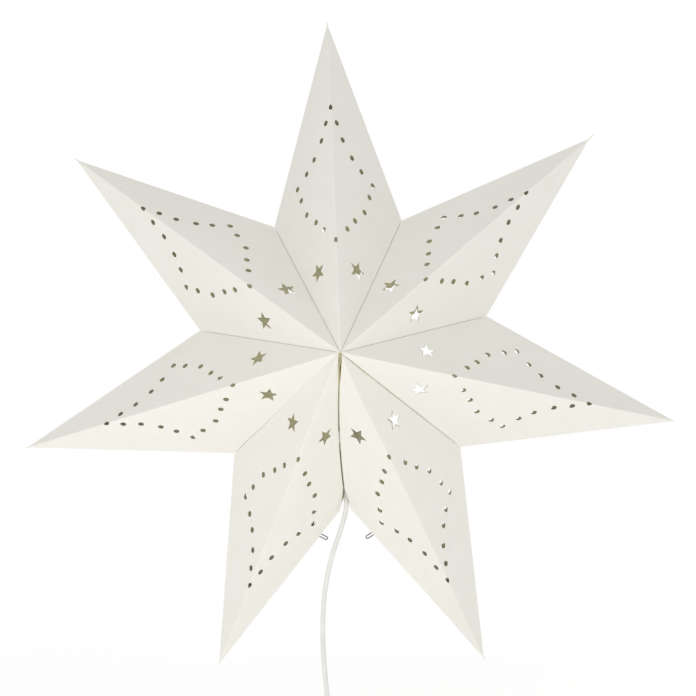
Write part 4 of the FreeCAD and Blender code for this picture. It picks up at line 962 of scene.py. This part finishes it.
def make_holder(plastic, steel):
    def fluted(angle, radius, height):
        outside = radius > 8.4 + max(0, (height + 118) * 0.8) - 0.6 and height < -95.6
        return radius - (0.45 * max(0, math.cos(40 * angle)) if outside and height > -115 else 0)

    def ridged(angle, radius, height):
        threaded = radius > 13.6 and -82 < height < -62
        return radius - (0.6 * wave(angle, height, SHELL_THREAD_PITCH) if threaded else 0)

    def knurled(angle, radius, _):
        return radius - (0.3 * max(0, math.cos(18 * angle)) if radius > 5.6 else 0)

    turned_piece("holder_cap", plastic, [
        (5, -118), (8, -118), (14.9, -110), (14.9, -95), (14.1, -95), (14.1, -98), (12.6, -98),
        (12.6, -109), (7, -116.6), (5, -116.6)], 0.5, 1.0, fluted, 240)
    turned_piece("holder_shell", plastic, [
        (14, -98), (14, -83.4), (13.4, -82.8), (13.4, -82.2), (14, -81.8), (14, -61.6),
        (13.4, -61.2), (13.4, -60.6), (14, -60.2), (14, -52), (11.5, -52), (11.5, -53.4),
        (12.6, -53.4), (12.6, -98)], 0.4, 0.5, ridged, 96)
    turned_piece("cord_grip", plastic, [
        (2.75, -130), (4.6, -130), (6, -127.6), (6, -120), (5.4, -119.6), (5.4, -118.6),
        (6, -118), (4.9, -118), (4.9, -112), (2.75, -112)], 0.35, 1.2, knurled, 144)
    band = rounded([(15, -106), (16.1, -106), (16.1, -104.9), (15.8, -104.5), (15.8, -100.5),
                    (16.1, -100.1), (16.1, -99), (15, -99)], 0.35)
    pieces = [(lathed(band), LAMP_UP, 0)]
    for side in (1, -1):
        turn = LAMP_UP @ moved(0, 0, -0.1025) @ turned(90 * side, "X")
        pieces.append((rod(1.2, 15.4, 20.4), turn, 0))
        pieces.append((rod(2.2, 20.1, 21.1), turn, 0))
    dress("clip_collar", pieces, [steel])


def glass_line(less):
    """Half outline of the bulb's glass: neck, shoulder and ball."""
    line = [(9.5 - less, -53), (9.7 - less, -50.5), (10.4 - less, -47.4), (11.9 - less, -44.0)]
    for step in range(40):
        angle = math.radians(-50 + 139.8 * step / 39)
        reach = 22.5 - less
        line.append((reach * math.cos(angle), -23.6 + reach * math.sin(angle)))
    return line


def make_bulb(glass, nickel_plate, phosphor_coat, wire):
    wall = glass_line(0) + glass_line(0.6)[::-1]
    dress("bulb_glass", [(lathed(wall), LAMP_UP, 0)], [glass], "bulb")

    def threaded(angle, radius, height):
        inside = -71.8 < height < -57.4
        return radius - (0.55 * wave(angle, height, BULB_THREAD_PITCH) if inside else 0)

    turned_piece("bulb_cap", nickel_plate, [
        (3.6, -74.5), (6.95, -72.6), (6.95, -57), (7.6, -55.4), (9.5, -54.2), (9.5, -53.2),
        (9.0, -53.2), (7.0, -55.2), (6.3, -57.2), (6.3, -72.3), (3.6, -74.0)],
        0.3, 0.4, threaded, 96, "bulb")
    turned_piece("bulb_stem", glass, [
        (7.2, -55), (4.4, -50), (2.7, -45), (2.1, -41), (2.6, -38.6), (2.4, -37), (0.4, -36.6),
        (0.4, -38.2), (1.4, -40), (1.7, -45), (3.6, -50), (6.6, -55)], 1.2, 1.5, None, 36, "bulb")
    pieces = []
    for quarter in range(4):
        angle = math.radians(90 * quarter + 45)
        aside = LAMP_UP @ moved(0.006 * math.cos(angle), 0.006 * math.sin(angle), 0)
        pieces.append((rod(0.8, -35.6, -11.6), aside, 0))
        for low, high in ((-36.9, -35.4), (-11.8, -10.3)):
            pieces.append((rod(0.35, low, high, 0.1, 12), aside, 1))
        across = LAMP_UP @ Matrix.Rotation(angle, 4, "Z") @ turned(90, "Y")
        for level in (-36.4, -10.8):
            lift = Matrix.Translation(LAMP_UP.to_3x3() @ Vector((0, 0, level * MM)))
            pieces.append((rod(0.3, 0, 6.2, 0.1, 12), lift @ across, 1))
    pieces.append((rod(0.3, -37, -10.6, 0.1, 12), LAMP_UP, 1))
    dress("bulb_filaments", pieces, [phosphor_coat, wire], "bulb")


# ---------------- switch, plug and tie

# Profiles, rings and sizes are in millimetres; places are in metres.
SWITCH_MIDDLE = moved(SWITCH_X + SWITCH_LENGTH / 2, SWITCH_Y, GROUND)
ROCKER_PLACE = moved(0.053, SWITCH_Y, -0.7309) @ turned(-8, "Y")
PLUG_FACE = moved(PLUG_X, PLUG_Y, GROUND + PLUG_HEIGHT / 2)


def case_rings(steps):
    """Level rings of the switch's case: height, then how far they lie inside its outline."""
    return [level_ring(62 - 2 * inset, 26 - 2 * inset, max(0.6, 6 - inset), level)
            for level, inset in steps]


def nozzle(side):
    """Ribbed sleeve where the cord enters the switch."""
    line = [(2.62, 0), (4.3, 0), (4.3, 1.4), (3.5, 1.7), (3.5, 2.7), (4.1, 3.0), (4.1, 4.4),
            (3.4, 4.7), (3.4, 5.6), (3.8, 5.9), (3.7, 8), (2.62, 8)]
    place = SWITCH_MIDDLE @ moved(side * 0.0305, 0, SWITCH_BASE) @ turned(90 * side, "Y")
    return lathed(rounded(line, 0.25), segments=40), place, 0


def make_switch(case, button, steel):
    base = case_rings([(0, 1.6), (0.4, 0.7), (1.2, 0.15), (2.4, 0), (8.6, 0), (8.85, 0.35),
                       (9, 0.35)])
    base_items = [(skinned(base), SWITCH_MIDDLE, 0), nozzle(1), nozzle(-1)]
    made = [dress("switch_base", base_items, [case])]
    cover = case_rings([(9, 0.35), (9.15, 0.35), (9.4, 0), (14.4, 0), (16.2, 0.35), (17.2, 1.1),
                        (17.8, 2.3), (18, 3.8)])
    for size in ((26.4, 15.4, 4, 18), (25.6, 14.6, 3.8, 17.5), (22.0, 11.0, 1.6, 17.3),
                 (21.2, 10.2, 1.0, 17.0), (21.0, 10.0, 0.8, 12.4)):
        cover.append(level_ring(*size))
    made.append(dress("switch_cover", [(skinned(cover), SWITCH_MIDDLE, 0)], [case]))
    heads = []
    for side in (1, -1):
        place = SWITCH_MIDDLE @ moved(side * 0.0232, 0.0072, 0.0178)
        heads.append((screw_head(2.6, 1.0), place @ Matrix.Rotation(0.5 * side, 4, "Z"), 0))
    made.append(dress("switch_screws", heads, [steel]))
    made.append(make_rocker(button, case))
    return made


def make_rocker(button, case):
    """A dished button on its pin, with a bar and a ring on its two ends."""
    rings = []
    for x in [-10, -9.8, -9.2, -8] + list(range(-6, 7, 2)) + [8, 9.2, 9.8, 10]:
        inset = max(0, abs(x) - 9) ** 2 * 0.6
        top = 5.3 + 1.2 * (x / 10) ** 2 - inset
        low = -0.4 if abs(x) > 6 else -0.9
        rings.append([(x, y * (1 - inset * 0.06), (top + low) / 2 + z)
                      for y, z in round_rectangle(9, top - low, 0.7)])
    bar = skinned([level_ring(1.0, 4.6, 0.4, level, 4) for level in (4.6, 5.9)])
    ring = lathed(rounded([(1.6, 0), (1.6, 0.5), (2.4, 0.5), (2.4, 0)], 0.15), segments=32)
    tilt = math.atan2(2 * 1.2 * 0.6, 10)
    bar_place = ROCKER_PLACE @ moved(0.006, 0, 0.0002)
    ring_place = ROCKER_PLACE @ moved(-0.006, 0, 0.00555) @ Matrix.Rotation(tilt, 4, "Y")
    items = [(skinned(rings), ROCKER_PLACE, 0), (bar, bar_place, 1), (ring, ring_place, 1),
             (rod(1.5, -6.2, 6.2), ROCKER_PLACE @ turned(90, "X"), 0)]
    return dress("switch_rocker", items, [button, case], "rocker")


def plug_ring(x, width, height, radius):
    return [(x, y, z) for y, z in round_rectangle(width, height, radius, 9)]


def make_plug(plastic, pin_metal):
    rings = [plug_ring(0, 33.4, 12.4, 2.6), plug_ring(0.3, 34.5, 13.5, 3),
             plug_ring(1, 35, 14, 3.2)]
    for step in range(1, 19):
        share = step / 18
        x = 1 + 26 * share
        width = 35 - 23.4 * float(ease((x - 9) / 18))
        height = 14 - 3.4 * float(ease((x - 12) / 15))
        groove = 0.5 * max(0, math.sin((x - 7.5) * math.pi / 1.6)) if 7.5 < x < 17.1 else 0
        rings.append(plug_ring(x, width - 2 * groove, height, min(3.2 + 2.2 * share, height / 2)))
    for step in range(1, 65):
        x = 27 + 21 * step / 64
        radius = 5.3 - 2.2 * (x - 27) / 21
        groove = 0.75 if (x - 27.8) % 3.0 > 1.9 and x < 46.4 else 0
        rings.append(plug_ring(x, 2 * (radius - groove), 2 * (radius - groove), radius))
    items = [(skinned(rings), PLUG_FACE, 0)]
    pins = []
    for side in (1, -1):
        turn = PLUG_FACE @ moved(0, side * 0.0093, 0) @ turned(-90, "Y")
        items.append((rod(1.5, -1, 10, 0.1, 32), turn, 0))
        tip = ((0.6, 19), (1.4, 18.8), (1.85, 18.2), (2.0, 17.2), (2.0, 10.2), (1.9, 10.02),
               (1.1, 10))
        pins.append((skinned([circle(radius, level, 40) for radius, level in tip]), turn, 0))
    return [dress("plug_body", items, [plastic]), dress("plug_pins", pins, [pin_metal])]


def make_tie(plastic):
    """Strap drawn snugly round the bundle of cords, with its small lock."""
    low, high = -0.4, COIL_LAYERS * COIL_PITCH / MM - 0.4 + 0.6
    inner, outer = 16.4, 39.9
    middle = moved(COIL_MIDDLE[0] + (inner + outer) / 2 * MM, COIL_MIDDLE[1],
                   GROUND + TIE_LIFT + (low + high) / 2 * MM)
    rings = []
    for y, grow in ((-3, 0.2), (-2.7, 0.8), (2.7, 0.8), (3, 0.2), (2.7, 0), (-2.7, 0)):
        line = round_rectangle(outer - inner + 2 * grow, high - low + 2 * grow, 3.4 + grow, 9)
        rings.append([(x, y, z) for x, z in line])
    lock_rings = []
    for y, inset in ((-4.2, 0.5), (-3.9, 0), (3.9, 0), (4.2, 0.5)):
        line = round_rectangle(4.6 - 2 * inset, 3.2 - 2 * inset, 0.8, 5)
        lock_rings.append([(x, y, z) for x, z in line])
    place = middle @ moved(0, 0, ((high - low) / 2 + 1.5) * MM)
    items = [(skinned(rings, True), middle, 0), (skinned(lock_rings), place, 0)]
    return dress("cord_tie", items, [plastic])


# ---------------- hook and loop pads

PAD_LENGTH, PAD_WIDTH, PAD_HEIGHT = 0.016, 0.008, 0.00074
PAD_PLACE = 0.105              # from the apex along the seam
PAD_ROUGHNESS = 0.00004


def make_pads(hooks, loops):
    """Soft pads that hold the seam shut, bowed with the seam."""
    for node, own_side, finish in (("seam_hook_pads", 1, hooks), ("seam_loop_pads", -1, loops)):
        chance = random.Random(7 + own_side)
        items = []
        for face in (FRONT, BACK):
            start = CENTRE + Vector((0, face * HALF_DEPTH, 0))
            along = (rim(valley_turn(SEAM), NOTCH_RADIUS) - start).normalized()
            inward = square_to(CENTRE - start, along)
            beside = along.cross(inward)
            beside = beside * own_side if beside.x > 0 else beside * -own_side
            work = bmesh.new()
            bmesh.ops.create_cube(work, size=1)
            bmesh.ops.subdivide_edges(work, edges=work.edges, cuts=11, use_grid_fill=True)
            for vert in work.verts:
                u, v, w = vert.co
                soft = 1 - 0.06 * (abs(2 * u) ** 8 + abs(2 * v) ** 8)
                uneven = chance.uniform(-PAD_ROUGHNESS, PAD_ROUGHNESS)
                lift = (w + 0.5) * PAD_HEIGHT * soft + uneven + PAD_ROUGHNESS
                place = (start + along * (PAD_PLACE + (u + 0.5) * PAD_LENGTH)
                         + inward * (0.001 + (v + 0.5) * PAD_WIDTH) + beside * lift)
                radius = np.array([math.hypot(place.x - CENTRE.x, place.z - CENTRE.z)])
                place.x -= float(seam_shift(np.array([0.0]), radius, face)[0])
                vert.co = place
            mesh = bpy.data.meshes.new("pad")
            work.to_mesh(mesh)
            work.free()
            items.append((mesh, Matrix.Identity(4), 0))
        dress(node, items, [finish])


# ---------------- make everything

make_camera()
sheath = cord_finish()
lead = cord_curve("hanging_cord", lead_points(), sheath, "cord_lead")
tail = cord_curve("coiled_cord", tail_points(), sheath, "cord_link", "cord_coil", "cord_tail")

bpy.context.scene.view_settings.view_transform = "Standard"
make_world()
make_lights()
make_floor(floor_finish())

card_outside = card_finish("white_card", (0.850, 0.836, 0.775), (0.835, 0.820, 0.755))
# The inside face is painted lighter and yellower than the outside: painted warm light, for the
# light that the card lets through into the hollow star.
card_inside_painted_light = card_finish("white_card_inside", (0.880, 0.872, 0.780), (0.865, 0.855, 0.76))
punching = card_tree()
for number in range(len(POINTS)):
    make_point(punching, number, card_outside, card_inside_painted_light)

white_plastic = plastic_finish("white_plastic", (0.80, 0.795, 0.76), (0.77, 0.765, 0.73))
spring_steel = metal_finish("spring_steel", (0.20, 0.20, 0.205), (0.14, 0.135, 0.135), 0.38,
                            (1, 1, 0.1))
plated_steel = metal_finish("plated_steel", (0.62, 0.61, 0.59), (0.5, 0.49, 0.47), 0.32)
nickel = metal_finish("nickel", (0.72, 0.70, 0.66), (0.6, 0.58, 0.54), 0.22)
brass = metal_finish("bare_brass", (0.72, 0.52, 0.22), (0.6, 0.42, 0.18), 0.3)
solder = metal_finish("dull_solder", (0.5, 0.5, 0.5), (0.4, 0.4, 0.4), 0.5)
clear_glass = glass_finish("clear_glass", (0.97, 0.98, 0.98), 0.02, 1.0)
black_glass = glass_finish("black_glass", (0.02, 0.02, 0.022), 0.15, 0.0)
phosphor = plastic_finish("phosphor_coat", (0.80, 0.50, 0.10), (0.74, 0.45, 0.08), 0.6, 0.00004)
loop_tape = Finish("loop_tape", (0.82, 0.82, 0.80), 0.95, Sheen_Weight=0.4)
loop_tape.bumped([(loop_tape.noise(1900, 2), 0.0003)])
hook_tape = Finish("hook_tape", (0.76, 0.76, 0.74), 0.8, Sheen_Weight=0.2)
hook_tape.bumped([(hook_tape.noise(3200, 1), 0.0003)])
button_plastic = plastic_finish("button_plastic", (0.83, 0.825, 0.80), (0.80, 0.795, 0.77), 0.28)
clear_plastic = plastic_finish("tie_plastic", (0.86, 0.86, 0.85), (0.80, 0.80, 0.79), 0.3)
porcelain = plastic_finish("porcelain", (0.78, 0.76, 0.70), (0.74, 0.72, 0.66), 0.5, 0.00003)
wire_blue = plastic_finish("wire_insulation", (0.16, 0.25, 0.42), (0.14, 0.22, 0.38))

make_holder(white_plastic, plated_steel)
make_bulb(clear_glass, nickel, phosphor, plated_steel)
switch_pieces = make_switch(white_plastic, button_plastic, plated_steel)
plug_pieces = make_plug(white_plastic, nickel)
tie = make_tie(clear_plastic)
make_pads(hook_tape.material, loop_tape.material)

NODE_FINISHES = {
    "contact_block": porcelain, "screw_sleeve": nickel, "terminal_screws": plated_steel,
    "centre_contact": brass, "side_contact": brass, "conductors": wire_blue,
    "bulb_insulator": black_glass, "bulb_contact": solder,
    "clip_leg_right": spring_steel, "clip_leg_left": spring_steel, "switch_blade": brass,
}
for node, material in NODE_FINISHES.items():
    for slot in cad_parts[node].material_slots:
        slot.material = material

tuple(lead_points()[0])
tuple(tail_points()[0])
